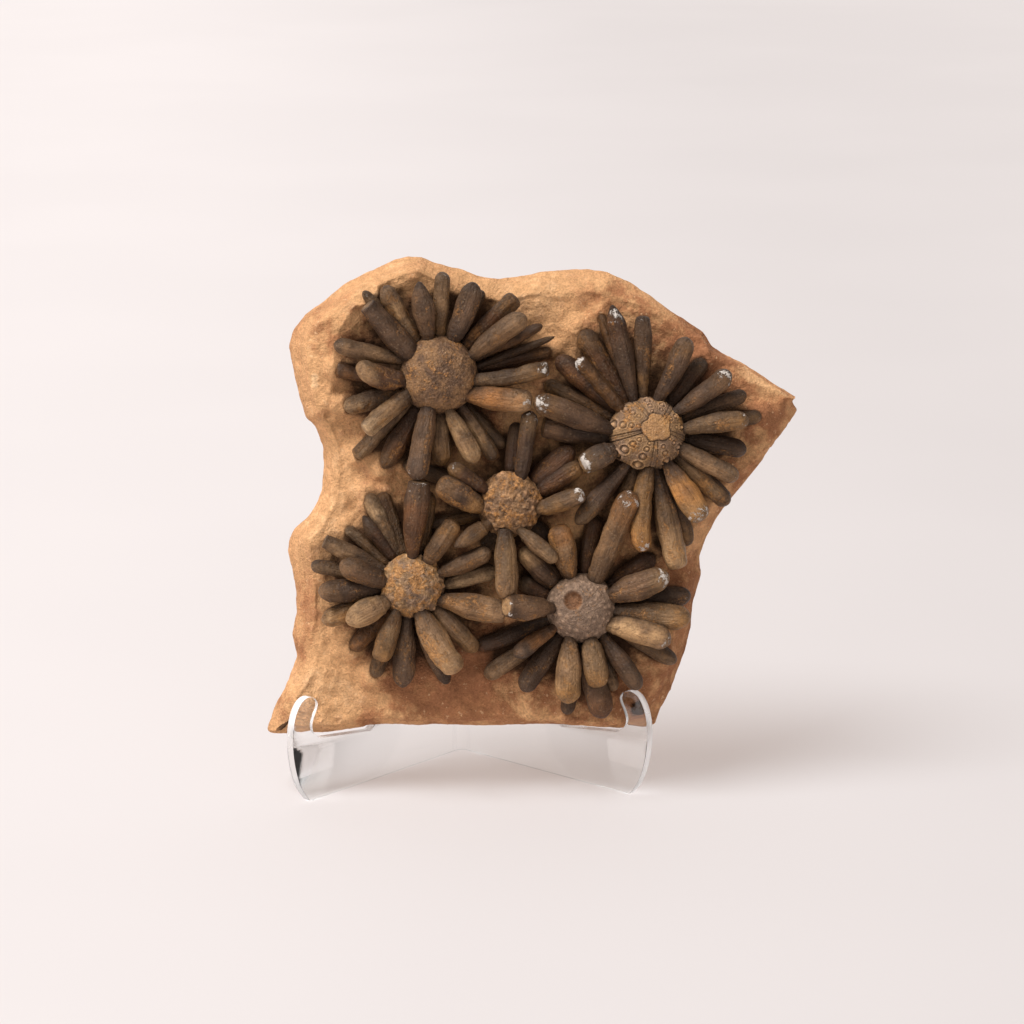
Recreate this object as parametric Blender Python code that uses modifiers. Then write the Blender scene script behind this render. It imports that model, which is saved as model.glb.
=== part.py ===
"""Five fossil club-spined sea urchins on one rock slab, standing on a folded clear sheet stand.

Metres, +Z up, the viewer on the -Y side. The origin is on the ground, under the middle of the
whole piece's footprint.

The slab and its urchins are laid out in the slab's own frame: u to the right, v up the slab's face
and w out of the face, towards the viewer. Their outlines are drawn points (x to the right, y down,
in drawing steps) of a view taken from EYE_DISTANCE away, and drawn() turns a drawn point into a
place on the slab.
"""

import math
from collections import namedtuple

import bmesh
import bpy
import numpy as np
from mathutils import Matrix, Vector, noise

MM = 0.001
WELD = 0.01 * MM  # points closer than this become one

# Where the stand's fold lies, seen from the middle of the footprint.
FOLD_PLACE = (-30.73 * MM, 41.25 * MM)

# The stand: one flat sheet, cut to an outline and folded once about its upright middle line.
SHEET = 4.0 * MM
FOLD_ANGLE = 90.0  # degrees between the two wings
FOLD_RADIUS = 4.5 * MM  # to the middle of the sheet
FOLD_STEPS = 4
STAND_HEIGHT = 122.0 * MM
LEDGE_FRONT = (95.6, 28.4)  # millimetres along a wing from the fold, and above the ground
LEDGE_RUN = 35.0  # millimetres, from the ledge's front to the back rest

# The slab.
LEAN = 10.0  # degrees back from upright
SLAB_SEAT = Vector((28.4, -67.0, 31.0)) * MM  # foot of the slab's face, from the fold
SLAB_THICKNESS = 24.0 * MM
OUTLINE_DEPTH = 12.0 * MM  # how far behind the face the slab is widest
SLAB_TRIANGLES = 1350
ROCK_VOXEL = 3.0 * MM
CORNER_EASE = 2.5 * MM  # how far the edge's direction turns smoothly round a corner
SLOPE_REACH = 6.0 * MM  # how far one place's edge slope spreads
SLOPE_POWER = 1.4  # above 1, the edge is steeper near its widest line
BACK_EDGE = 5.0 * MM  # height of the slope round the slab's back
BACK_INSET = 2.0 * MM
BED_LAYER = 4.5 * MM  # thickness of the rock's beds, which break back in ledges
LEDGE_STEP = 1.3 * MM
LEDGE_TURNS = 22.0  # swells of a ledge along a metre of the edge
RIM_WIDTH = 6.5 * MM  # the worn rim of the face
RIM_DROP = 2.2 * MM

# The view that the outlines are drawn in.
EYE_DISTANCE = 1.68
EYE_AZIMUTH = -3.87  # degrees to the right of straight ahead
EYE_HEIGHT_ANGLE = 13.86  # degrees above the horizon
EYE_TARGET = Vector((23.9, 0.0, 114.7)) * MM  # from the fold
STEPS_PER_METRE_AT_ONE = 3626.7  # drawing steps across one metre that is one metre away
DRAWING_MIDDLE = 512.0

SLAB_OUTLINE = [
    (268, 731), (279, 701), (285, 690), (290, 676), (298, 657), (293, 636), (296, 616), (295, 587),
    (293, 569), (289, 551), (290, 540), (295, 530), (308, 518), (318, 503), (323, 491), (325, 467),
    (324, 447), (316, 427), (306, 418), (302, 402), (295, 375), (290, 346), (294, 330), (305, 315),
    (325, 301), (343, 284), (368, 272), (388, 263), (410, 256), (423, 257), (437, 263), (461, 268),
    (479, 276), (500, 279), (524, 275), (545, 271), (588, 269), (608, 272), (631, 282), (663, 304),
    (702, 332), (712, 347), (731, 358), (745, 364), (770, 381), (794, 397), (798, 410), (780, 435),
    (761, 462), (741, 486), (718, 517), (706, 539), (701, 556), (702, 576), (695, 601), (692, 627),
    (681, 661), (670, 690), (659, 708), (655, 724), (641, 727), (627, 728), (603, 727), (567, 725),
    (512, 723), (467, 724), (410, 724), (386, 723), (372, 725), (357, 728), (341, 731), (310, 731),
    (289, 732),
]

# How the broken edge falls away: drawn point, inset of the face, and how far back the slope runs
# (both in millimetres).
EDGE_SLOPES = [
    (270, 728, 4, 8), (290, 640, 8, 13), (292, 560, 8, 13), (312, 510, 6, 9), (323, 460, 6, 9),
    (303, 400, 5, 10), (293, 340, 6, 12), (345, 285, 7, 12), (415, 258, 6, 10), (500, 278, 9, 9),
    (600, 271, 10, 10), (680, 318, 6, 9), (712, 347, 5, 12), (765, 380, 9, 16), (790, 415, 5, 12),
    (735, 495, 6, 12), (703, 570, 9, 14), (690, 640, 9, 14), (660, 710, 8, 13), (600, 728, 3, 6),
    (500, 723, 3, 6), (380, 724, 3, 6),
]

# Swells and hollows of the face: drawn point, radius in drawing steps, height in millimetres.
SWELLS = [
    (338, 318, 27, 6.5), (324, 360, 24, 6.0), (318, 400, 22, 5.0), (318, 428, 15, 3.0),
    (372, 285, 22, 5.0), (415, 270, 22, 4.0), (455, 284, 20, 2.0), (530, 290, 30, 2.5),
    (590, 286, 30, 3.0), (650, 308, 26, 2.0), (745, 385, 26, 1.5), (312, 535, 22, 3.0),
    (303, 610, 20, 2.5), (290, 700, 24, 1.5), (700, 530, 22, 1.0), (670, 680, 22, 1.5),
    (438, 375, 60, -1.2), (646, 434, 64, -1.2), (510, 504, 60, -1.2), (412, 586, 60, -1.2),
    (581, 608, 60, -1.2),
]

# An urchin's test (its shell): drawn middle, radius in millimetres, height above the face.
AMBITUS = 8.0 * MM  # height of the test's widest line above the face
TEST_FOOT = 0.9 * MM  # height of the test's underside above the face
TEST_SIDES = 16
SPINE_SIDES = 6
ROOT_DEPTH = 2.6 * MM  # how far a spine's root reaches into the test
BELLY_PLACE = 0.70  # where along its length a spine is thickest
TIP_WIDTH = 0.66  # share of the greatest width that the blunt tip keeps
FACET_ALLOWANCE = 1.05  # so that a faceted spine is as wide as the round one

# How high a spine lies: root above the face, and the gap under its thickest part (millimetres).
Tier = namedtuple("Tier", "root clear")
LOW = Tier(4.6, 1.0)
SUB = Tier(6.2, 3.2)
MID = Tier(8.0, 5.4)
OVER = Tier(10.0, 7.8)
TOP = Tier(11.6, 10.2)

# Each spine: bearing of its tip from the test's middle (degrees, 0 to the right, turning to the
# top), its reach, its greatest width (millimetres), the bearing of its root and, where it lies on
# a neighbour, its extra lift (millimetres).
UPPER_LEFT = {
    "middle": (438.7, 375.0), "radius": 17.3, "top": 20.5,
    TOP: [(173.6, 37.4, 10.3, 192), (217, 42, 8.7, 211), (257.7, 48.6, 10.3, 253), (293, 43, 8.7, 285),
          (344, 43.7, 11, 323), (3.7, 49.8, 8, 350), (34, 47.5, 9.7, 29)],
    OVER: [(102, 43, 10.3, 107), (135.6, 45.2, 11, 144), (68.8, 44.7, 9.7, 69)],
    MID: [(163.6, 49.2, 6.8, 157), (304, 46, 6.5, 306), (18.3, 55, 3.5, 10)],
    SUB: [(88, 46.5, 6.8, 89), (121.5, 47, 6.8, 128), (272, 40, 7.4, 272), (25.6, 51.8, 6, 25),
          (45.3, 49.6, 7.4, 46.5)],
    LOW: [(132, 50.8, 6, 132), (177, 46.6, 6.1, 190), (199, 45.2, 7, 203), (224.5, 52.5, 6.5, 222),
          (239, 49, 8, 237), (312, 44, 6.1, 310), (62.7, 42.9, 5, 61), (12, 52, 6, 10)],
}
UPPER_RIGHT = {
    "middle": (646.5, 434.0), "radius": 17.4, "top": 21.0,
    TOP: [(36.2, 47.1, 9.2, 37), (8, 46.5, 9.7, 6), (334.3, 45.9, 8, 338), (303, 46.3, 12, 305),
          (267.5, 53.1, 9.6, 273), (205.8, 32.2, 10.5, 205), (163, 52.8, 11.5, 174)],
    OVER: [(232, 51.5, 9, 238), (105, 60.2, 8.7, 111), (66.6, 47.3, 9.7, 74), (132.5, 46.4, 7.3, 135)],
    MID: [(92, 53.3, 7.8, 96), (283, 62.5, 11.5, 285)],
    SUB: [(22, 48.5, 7.3, 25), (350.5, 45.6, 8.7, 355), (319.8, 48.7, 9, 325), (283.4, 45.5, 6.9, 283),
          (175.8, 47, 10, 187), (139.4, 53.3, 10, 140)],
    LOW: [(111, 57.8, 6, 114), (52.3, 42.7, 7.5, 52), (9, 52.4, 7, 14), (290.5, 53.7, 8.7, 294),
          (252, 35, 8, 252), (153.6, 51.3, 7.8, 155), (122, 54.9, 9.5, 124)],
}
CENTRE = {
    "middle": (509.5, 504.0), "radius": 14.5, "top": 18.5,
    TOP: [(77.4, 43, 7.8, 66), (7.5, 34.2, 8.7, 345, 2), (309.3, 33.5, 7, 291, 5),
          (268.2, 42.8, 10.6, 260, 4), (218, 31.5, 7.8, 225, 3), (163.3, 33.4, 11.5, 189),
          (147.6, 32.5, 8.3, 150)],
    MID: [(28.8, 37.6, 9.7, 20)],
    SUB: [(85, 37, 6.8, 88), (41, 38.5, 10.5, 44)],
    LOW: [(318, 24, 7, 318), (243, 24, 7, 243), (195, 36.8, 6.5, 200), (159, 51, 7, 155)],
}
LOWER_LEFT = {
    "middle": (411.8, 585.5), "radius": 14.4, "top": 18.5,
    TOP: [(86, 47, 11, 90), (56.3, 34.9, 9.7, 57.5), (23.6, 38.8, 8.4, 22.6), (297.9, 44.2, 11.8, 287),
          (246.4, 36.9, 9.8, 238.6), (209.5, 33.8, 10.6, 212), (162.5, 33.9, 10.6, 175)],
    OVER: [(343.8, 44.2, 12, 330)],
    MID: [(314.6, 41.7, 8.2, 316), (264.8, 46.2, 10.2, 262), (183.8, 42.2, 10.6, 187),
          (153.2, 44.4, 7.7, 150)],
    SUB: [(10.2, 39.5, 8, 357.6), (79.7, 43.3, 8, 73), (290, 47.2, 6.9, 277), (201.8, 43.6, 9, 203),
          (168.2, 46.3, 6.5, 166), (125, 38.4, 7.3, 122)],
    LOW: [(247.3, 44.6, 7.3, 246), (227, 39.6, 8, 227), (138.5, 39.3, 5, 138), (115.5, 45.7, 9, 114),
          (108, 44, 6.8, 104)],
}
LOWER_RIGHT = {
    "middle": (581.0, 608.0), "radius": 15.6, "top": 19.5,
    TOP: [(66.6, 57.5, 10.5, 64), (179, 34.6, 11, 180, 3), (215.6, 37, 7.7, 216), (262, 43.5, 11.5, 248),
          (282.4, 36.6, 10.6, 288), (339.2, 43.3, 11.8, 327), (20.6, 42.3, 11.7, 23.5)],
    OVER: [(105.2, 38.6, 12, 110), (306, 45.2, 9, 309), (354.5, 49.6, 11.4, 356)],
    SUB: [(135.2, 38.3, 10.6, 138), (234.6, 45.8, 9, 232), (281.7, 50.7, 11, 275), (292, 40.3, 6.5, 296)],
    LOW: [(81.5, 42.2, 7.5, 84), (156.3, 30.6, 8, 158), (200.6, 50, 8, 203), (215.7, 53.2, 7.8, 218),
          (262.4, 48.4, 7, 262), (330.5, 49.3, 7.5, 332), (6.8, 49.8, 9.5, 8), (35.7, 40.8, 9, 40)],
}
URCHINS = {
    "urchin_upper_left": UPPER_LEFT,
    "urchin_upper_right": UPPER_RIGHT,
    "urchin_centre": CENTRE,
    "urchin_lower_left": LOWER_LEFT,
    "urchin_lower_right": LOWER_RIGHT,
}
TIERS = (LOW, SUB, MID, OVER, TOP)
DRAWN_MM_PER_STEP = 0.45


def clear_scene():
    for old in list(bpy.data.objects):
        bpy.data.objects.remove(old, do_unlink=True)


def make_collection(name):
    made = bpy.data.collections.new(name)
    bpy.context.scene.collection.children.link(made)
    return made


def make_material(name, colour, roughness, transmission=0.0):
    material = bpy.data.materials.new(name)
    material.use_nodes = True
    shader = material.node_tree.nodes["Principled BSDF"]
    shader.inputs["Base Color"].default_value = (*colour, 1.0)
    shader.inputs["Roughness"].default_value = roughness
    shader.inputs["Metallic"].default_value = 0.0
    shader.inputs["Transmission Weight"].default_value = transmission
    return material


def slab_frame():
    """The slab's own frame, seen from the stand's fold."""
    return Matrix.Translation(SLAB_SEAT) @ Matrix.Rotation(math.radians(90.0 - LEAN), 4, "X")


def eye_axes():
    """The drawing's right and up directions, and the one from the slab back to the eye."""
    side, rise = math.radians(EYE_AZIMUTH), math.radians(EYE_HEIGHT_ANGLE)
    back = Vector((math.sin(side) * math.cos(rise), -math.cos(side) * math.cos(rise), math.sin(rise)))
    right = Vector((math.cos(side), math.sin(side), 0.0))
    return right, back.cross(right), back


def drawn(x, y, height=0.0):
    """The place in the slab's frame that a drawn point shows, at a height over the face."""
    right, up, back = eye_axes()
    into_slab = slab_frame().inverted()
    eye = into_slab @ (EYE_TARGET + back * EYE_DISTANCE)
    across = (x - DRAWING_MIDDLE) / STEPS_PER_METRE_AT_ONE
    above = (DRAWING_MIDDLE - y) / STEPS_PER_METRE_AT_ONE
    ray = into_slab.to_3x3() @ (right * across + up * above - back)
    return eye + ray * ((height - eye.z) / ray.z)


def to_mesh_object(source, name, collection):
    """A mesh object with the evaluated shape of a curve or modified object, which it replaces."""
    evaluated = source.evaluated_get(bpy.context.evaluated_depsgraph_get())
    mesh = bpy.data.meshes.new_from_object(evaluated)
    made = bpy.data.objects.new(name, mesh)
    made.matrix_world = source.matrix_world
    collection.objects.link(made)
    bpy.data.objects.remove(source, do_unlink=True)
    return made


def flat_plate(name, outline, thickness, collection):
    """A plate with the given outline in its XY plane, half its thickness to each side."""
    curve = bpy.data.curves.new(name, "CURVE")
    curve.dimensions = "2D"
    curve.fill_mode = "BOTH"
    curve.extrude = thickness / 2
    line = curve.splines.new("POLY")
    line.points.add(len(outline) - 1)
    for point, (x, y) in zip(line.points, outline):
        point.co = (x, y, 0.0, 1.0)
    line.use_cyclic_u = True
    drawn_curve = bpy.data.objects.new(name + "_outline", curve)
    collection.objects.link(drawn_curve)
    bpy.context.view_layer.update()
    plate = to_mesh_object(drawn_curve, name, collection)
    shape = bmesh.new()
    shape.from_mesh(plate.data)
    bmesh.ops.remove_doubles(shape, verts=shape.verts, dist=WELD)
    bmesh.ops.recalc_face_normals(shape, faces=shape.faces)
    shape.to_mesh(plate.data)
    shape.free()
    return plate


# ---------------------------------------------------------------- the rock slab


def relief(places):
    """Height of the face above w = 0 at slab places, an (n, 2) array in metres."""
    height = np.zeros(len(places))
    for x, y, radius, rise in SWELLS:
        middle = np.array(drawn(x, y)[:2])
        away = np.linalg.norm(places - middle, axis=1) / (radius * DRAWN_MM_PER_STEP * MM)
        height += rise * MM * np.exp(-away**2)
    return height


def relief_at(u, v):
    """Height of the face above w = 0 at one slab place."""
    return float(relief(np.array([[u, v]]))[0])


def nearest_on_outline(places, outline):
    """Distance of each place from the outline, its nearest point there, and the way in from it.

    The way in is a unit direction that turns smoothly round the corners of the outline, whose
    points run clockwise.
    """
    best = np.full(len(places), np.inf)
    nearest = np.zeros_like(places)
    inward = np.zeros_like(places)
    for start, end in zip(outline, np.roll(outline, -1, axis=0)):
        run = end - start
        along = np.clip((places - start) @ run / (run @ run), 0.0, 1.0)
        foot = start + along[:, None] * run
        away = np.linalg.norm(places - foot, axis=1)
        closer = away < best
        best[closer] = away[closer]
        nearest[closer] = foot[closer]
        weight = 1.0 / (away**2 + CORNER_EASE**2) ** 2
        inward += weight[:, None] * np.array((run[1], -run[0]))
    return best, nearest, inward / np.linalg.norm(inward, axis=1)[:, None]


def edge_slopes(places):
    """Inset and slope depth of the broken edge near each place, in metres."""
    weight_sum = np.zeros(len(places))
    inset = np.zeros(len(places))
    depth = np.zeros(len(places))
    for x, y, slope_inset, slope_depth in EDGE_SLOPES:
        middle = np.array(drawn(x, y)[:2])
        weight = 1.0 / (np.sum((places - middle) ** 2, axis=1) + SLOPE_REACH**2) ** 2
        weight_sum += weight
        inset += weight * slope_inset * MM
        depth += weight * slope_depth * MM
    return inset / weight_sum, depth / weight_sum


def ledges(points):
    """How far each bed of the rock stands out or in at the broken edge, from about -1 to 1."""
    layers = np.floor(points[:, 2] / BED_LAYER) * 3.7
    across = points[:, :2] * LEDGE_TURNS
    return np.array([noise.noise(Vector((u, v, layer))) for (u, v), layer in zip(across, layers)])


def break_rock(mesh, outline):
    """Gives the plain plate its relief, its sloping broken edges and its bedding ledges."""
    points = np.array([vertex.co for vertex in mesh.vertices])
    flat = points[:, :2].copy()
    away, nearest, inward = nearest_on_outline(flat, outline)
    inset, depth = edge_slopes(nearest)
    below_face = -points[:, 2]
    slope = np.clip(1.0 - below_face / depth, 0.0, 1.0) ** SLOPE_POWER
    behind = np.clip(1.0 + (below_face - SLAB_THICKNESS) / BACK_EDGE, 0.0, 1.0)
    push = slope * inset + behind * BACK_INSET + (0.1 + ledges(points)) * LEDGE_STEP
    reach = 3.0 * np.maximum(push, MM)  # the push fades over three times its own length
    push *= np.clip(1.0 - away / reach, 0.0, 1.0)
    flat += inward * push[:, None]
    front = np.clip(1.0 + 2.0 * points[:, 2] / SLAB_THICKNESS, 0.0, 1.0)
    worn = np.clip(1.0 - away / RIM_WIDTH, 0.0, 1.0) ** 2 * RIM_DROP
    height = points[:, 2] + front * (relief(flat) - worn)
    mesh.vertices.foreach_set("co", np.column_stack([flat, height]).ravel())
    mesh.update()


def make_slab(collection, frame_empty, material):
    outline = np.array([tuple(drawn(x, y, -OUTLINE_DEPTH)[:2]) for x, y in SLAB_OUTLINE])
    slab = flat_plate("rock_slab_blank", outline, SLAB_THICKNESS, collection)
    slab.data.transform(Matrix.Translation((0.0, 0.0, -SLAB_THICKNESS / 2)))
    remesh = slab.modifiers.new("even_faces", "REMESH")
    remesh.mode = "VOXEL"
    remesh.voxel_size = ROCK_VOXEL
    bpy.context.view_layer.update()
    rock = to_mesh_object(slab, "rock_slab", collection)
    break_rock(rock.data, outline)
    fewer = rock.modifiers.new("broken_facets", "DECIMATE")
    fewer.ratio = SLAB_TRIANGLES / (2.0 * len(rock.data.polygons))
    fewer.use_collapse_triangulate = True
    rock.data.materials.clear()
    rock.data.materials.append(material)
    rock.parent = frame_empty
    return rock


# ---------------------------------------------------------------- the urchins


def turned(name, profile, sides, collection):
    """A closed turned shape about Z from (radius, height) points, top to bottom."""
    mesh = bpy.data.meshes.new(name)
    edges = [(k, k + 1) for k in range(len(profile) - 1)]
    mesh.from_pydata([(radius, 0.0, height) for radius, height in profile], edges, [])
    made = bpy.data.objects.new(name, mesh)
    screw = made.modifiers.new("turn", "SCREW")
    screw.steps = sides
    screw.render_steps = sides
    screw.use_merge_vertices = True
    screw.merge_threshold = WELD
    collection.objects.link(made)
    return made


def test_profile(radius, top):
    """A low dome, widest a little over half way up, on a narrower flat foot."""
    return [
        (0.0, top), (0.42 * radius, top - 0.05 * radius), (0.76 * radius, top - 0.22 * radius),
        (radius, AMBITUS + 1.5 * MM), (0.98 * radius, AMBITUS - 2.5 * MM), (0.72 * radius, TEST_FOOT),
        (0.0, TEST_FOOT),
    ]


def spine_profile(length, width):
    """A club: thin at its root, thickest past the middle, with a blunt tip."""
    half = width / 2 * FACET_ALLOWANCE
    return [
        (0.0, length), (TIP_WIDTH * half, length - 0.35 * half), (half, BELLY_PLACE * length),
        (0.90 * half, 0.40 * length), (0.50 * half, 0.12 * length), (0.40 * half, 0.0), (0.0, 0.0),
    ]


def polar(middle, bearing, reach_mm, height):
    """A slab place at a drawn bearing and reach from a drawn middle, at a height."""
    steps = reach_mm / DRAWN_MM_PER_STEP
    angle = math.radians(bearing)
    return drawn(middle[0] + steps * math.cos(angle), middle[1] - steps * math.sin(angle), height)


def make_spine(name, urchin, tier, spine, collection, frame_empty):
    tip_bearing, reach, width_mm, root_bearing = spine[:4]
    lift = spine[4] * MM if len(spine) > 4 else 0.0
    width = width_mm * MM
    root_height = tier.root * MM + lift / 2
    root = polar(urchin["middle"], root_bearing, urchin["radius"] - ROOT_DEPTH / MM, root_height)
    clear = tier.clear * MM + lift
    belly = polar(urchin["middle"], tip_bearing, 0.8 * reach, AMBITUS)
    belly_height = relief_at(belly.x, belly.y) + clear + width / 2
    end = polar(urchin["middle"], tip_bearing, reach, AMBITUS)
    end_height = relief_at(end.x, end.y) + clear + TIP_WIDTH * width / 2
    tip_height = max(root_height + (belly_height - root_height) / BELLY_PLACE, end_height)
    tip = polar(urchin["middle"], tip_bearing, reach, tip_height)
    run = tip - root
    club = turned(name, spine_profile(run.length, width), SPINE_SIDES, collection)
    club.location = root
    club.rotation_mode = "QUATERNION"
    club.rotation_quaternion = run.to_track_quat("Z", "Y")
    club.parent = frame_empty
    club.hide_render = True
    club.display_type = "WIRE"


def make_urchin(name, urchin, collection, frame_empty, material):
    middle = drawn(*urchin["middle"], AMBITUS)
    test = turned(
        name, test_profile(urchin["radius"] * MM, urchin["top"] * MM), TEST_SIDES, collection
    )
    test.location = (middle.x, middle.y, 0.0)
    test.parent = frame_empty
    test.data.materials.append(material)
    spines = make_collection(name + "_spines")
    count = 0
    for tier in TIERS:
        for spine in urchin.get(tier, []):
            count += 1
            make_spine(f"{name}_spine_{count}", urchin, tier, spine, spines, frame_empty)
    grown = test.modifiers.new("grown_spines", "BOOLEAN")
    grown.operation = "UNION"
    grown.solver = "EXACT"
    grown.operand_type = "COLLECTION"
    grown.collection = spines
    return test


# ---------------------------------------------------------------- the stand


def wing_outline():
    """One wing's outline, in millimetres along the sheet from the fold and up, from the ground."""
    ledge_drop = LEDGE_RUN * math.cos(math.radians(FOLD_ANGLE / 2)) * math.tan(math.radians(LEAN))
    rest_foot = (LEDGE_FRONT[0] - LEDGE_RUN, LEDGE_FRONT[1] - ledge_drop)
    rest_top = STAND_HEIGHT / MM - 12.0
    wing_lean = math.tan(math.radians(LEAN)) / math.cos(math.radians(FOLD_ANGLE / 2))
    lean_back = (rest_top - rest_foot[1]) * wing_lean
    top_corner = (rest_foot[0] - lean_back, rest_top)
    foot = [(100.0, 0.0), (102.8, 0.6), (106.2, 4.6), (109.0, 9.4), (111.3, 16.0), (112.8, 23.5)]
    hook = [(113.2, 31.0), (112.4, 37.5), (110.6, 43.0), (107.4, 47.3), (103.2, 49.0), (99.4, 48.0)]
    lip = [(97.0, 45.4), (97.3, 42.6), (99.2, 39.3), (100.6, 35.4), (99.9, 32.2), (98.0, 30.3)]
    ledge = [LEDGE_FRONT, (rest_foot[0] + 2.0, rest_foot[1] + 0.25), (rest_foot[0], rest_foot[1] + 2.0)]
    crown = [top_corner, (top_corner[0] - 3.0, rest_top + 6.0), (top_corner[0] - 10.0, rest_top + 10.5)]
    return foot + hook + lip + ledge + crown


def fold_point(along, up, out):
    """Where a point of the flat sheet lies after the fold, the wings running towards -Y."""
    half_turn = math.radians(180.0 - FOLD_ANGLE) / 2
    arc_half = FOLD_RADIUS * half_turn
    angle = max(-half_turn, min(half_turn, along / FOLD_RADIUS))
    past = math.copysign(max(0.0, abs(along) - arc_half), along)
    x = (FOLD_RADIUS + out) * math.sin(angle) + past * math.cos(angle)
    y = (FOLD_RADIUS + out) * math.cos(angle) - abs(past) * math.sin(half_turn)
    return (x, y - FOLD_RADIUS, up)


def make_stand(collection, frame_empty, material):
    wing = wing_outline()
    top = STAND_HEIGHT / MM
    outline = wing + [(12.0, top), (-12.0, top)] + [(-s, z) for s, z in reversed(wing)]
    sheet = flat_plate("acrylic_stand", [(s * MM, z * MM) for s, z in outline], SHEET, collection)
    shape = bmesh.new()
    shape.from_mesh(sheet.data)
    half_turn = math.radians(180.0 - FOLD_ANGLE) / 2
    for k in range(FOLD_STEPS + 1):
        along = FOLD_RADIUS * half_turn * (2 * k / FOLD_STEPS - 1)
        parts = shape.verts[:] + shape.edges[:] + shape.faces[:]
        bmesh.ops.bisect_plane(shape, geom=parts, plane_co=(along, 0, 0), plane_no=(1, 0, 0))
    for vertex in shape.verts:
        vertex.co = fold_point(vertex.co.x, vertex.co.y, vertex.co.z)
    bmesh.ops.recalc_face_normals(shape, faces=shape.faces)
    shape.to_mesh(sheet.data)
    shape.free()
    sheet.data.materials.append(material)
    sheet.parent = frame_empty
    return sheet


def make_empty(name, collection, location=(0.0, 0.0, 0.0), parent=None):
    made = bpy.data.objects.new(name, None)
    made.location = location
    made.parent = parent
    collection.objects.link(made)
    return made


def main():
    clear_scene()
    parts = make_collection("fossil_urchin_slab")
    rock = make_material("sandy_rock", (0.52, 0.33, 0.19), 0.92)
    fossil = make_material("brown_calcite", (0.20, 0.14, 0.09), 0.75)
    acrylic = make_material("clear_acrylic", (0.95, 0.97, 0.97), 0.05, transmission=1.0)
    fold = make_empty("fold", parts, (*FOLD_PLACE, 0.0))
    seat = make_empty("slab_seat", parts, parent=fold)
    seat.matrix_local = slab_frame()
    make_stand(parts, fold, acrylic)
    make_slab(parts, seat, rock)
    for name, urchin in URCHINS.items():
        make_urchin(name, urchin, parts, seat, fossil)
    bpy.context.view_layer.update()


main()
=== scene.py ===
"""Looks of a rock slab with five fossil club-spined sea urchins, standing on a folded clear stand.

The slab and its urchins are laid out in the slab's own frame: u to the right, v up the slab's face
and w out of the face. Outlines and places are drawn points, x to the right and y down in drawing
steps, of one view of the slab, which the studio's camera also takes.
"""

import logging
import math
from dataclasses import dataclass, field
from enum import Enum

import bmesh
import bpy
import numpy as np
from mathutils import Matrix, Vector, noise
from mathutils.bvhtree import BVHTree


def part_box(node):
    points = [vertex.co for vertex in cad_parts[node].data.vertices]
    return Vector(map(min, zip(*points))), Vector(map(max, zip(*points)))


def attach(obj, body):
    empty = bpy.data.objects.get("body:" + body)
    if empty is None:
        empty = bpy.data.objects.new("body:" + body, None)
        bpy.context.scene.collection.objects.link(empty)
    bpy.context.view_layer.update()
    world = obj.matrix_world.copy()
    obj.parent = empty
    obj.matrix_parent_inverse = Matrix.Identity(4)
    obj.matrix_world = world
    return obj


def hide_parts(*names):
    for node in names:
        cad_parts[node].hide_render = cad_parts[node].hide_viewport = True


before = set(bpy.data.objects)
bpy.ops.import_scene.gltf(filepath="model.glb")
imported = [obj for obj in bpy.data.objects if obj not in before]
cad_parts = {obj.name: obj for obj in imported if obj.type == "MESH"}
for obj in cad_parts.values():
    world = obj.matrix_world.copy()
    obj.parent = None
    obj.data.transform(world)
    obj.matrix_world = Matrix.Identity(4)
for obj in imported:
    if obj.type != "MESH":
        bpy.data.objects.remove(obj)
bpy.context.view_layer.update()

LOG = logging.getLogger("urchin_slab")
MM = 0.001
BODY = "root"
GOLDEN_TURN = 2.39996

Colour = tuple[float, float, float]


def from_display(red: float, green: float, blue: float) -> Colour:
    """Turns a display colour with parts from 0 to 255 into a linear one."""
    return tuple(
        part / 12.92 if part <= 0.04045 else ((part + 0.055) / 1.055) ** 2.4
        for part in (red / 255, green / 255, blue / 255)
    )


def smooth_step(value: np.ndarray, low: float, high: float) -> np.ndarray:
    """Rises smoothly from 0 at low to 1 at high, or falls where high is below low."""
    share = np.clip((value - low) / (high - low), 0.0, 1.0)
    return share * share * (3.0 - 2.0 * share)


def wander(points: np.ndarray, size: float, seed: float = 0.0, octaves: int = 1) -> np.ndarray:
    """Smooth random values for places.

    Args:
        points: places in metres, one a row.
        size: the size of the random swells, in metres.
        seed: an offset that gives another pattern.
        octaves: how many finer patterns are added.

    Returns:
        One value from about -1 to 1 for each place.
    """
    total = np.zeros(len(points))
    share = 1.0
    shift = Vector((seed, seed * 0.37, -seed * 0.71))
    for octave in range(octaves):
        scaled = points * (2.0**octave / size)
        total += share * np.array([noise.noise(Vector(place) + shift) for place in scaled])
        share *= 0.5
    return total


def along_line(places: np.ndarray, start: np.ndarray, end: np.ndarray) -> tuple[np.ndarray, ...]:
    """Finds a straight line near places.

    Args:
        places: (n, 2) places in metres.
        start: the line's start.
        end: the line's end.

    Returns:
        For each place the share of the line's length that it lies at, its nearest point on the
        line, and its distance from it.
    """
    run = end - start
    along = np.clip((places - start) @ run / (run @ run), 0.0, 1.0)
    foot = start + along[:, None] * run
    return along, foot, np.linalg.norm(places - foot, axis=1)


def linked(name: str, data: bpy.types.ID) -> bpy.types.Object:
    """A new object for a mesh, curve, light or camera, put in the scene."""
    made = bpy.data.objects.new(name, data)
    bpy.context.scene.collection.objects.link(made)
    return made


def drawn_mesh(drawn: bpy.types.Object) -> bpy.types.Mesh:
    """The mesh that an object is drawn with; the object is removed."""
    bpy.context.view_layer.update()
    made = bpy.data.meshes.new_from_object(drawn.evaluated_get(bpy.context.evaluated_depsgraph_get()))
    bpy.data.objects.remove(drawn, do_unlink=True)
    return made


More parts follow.
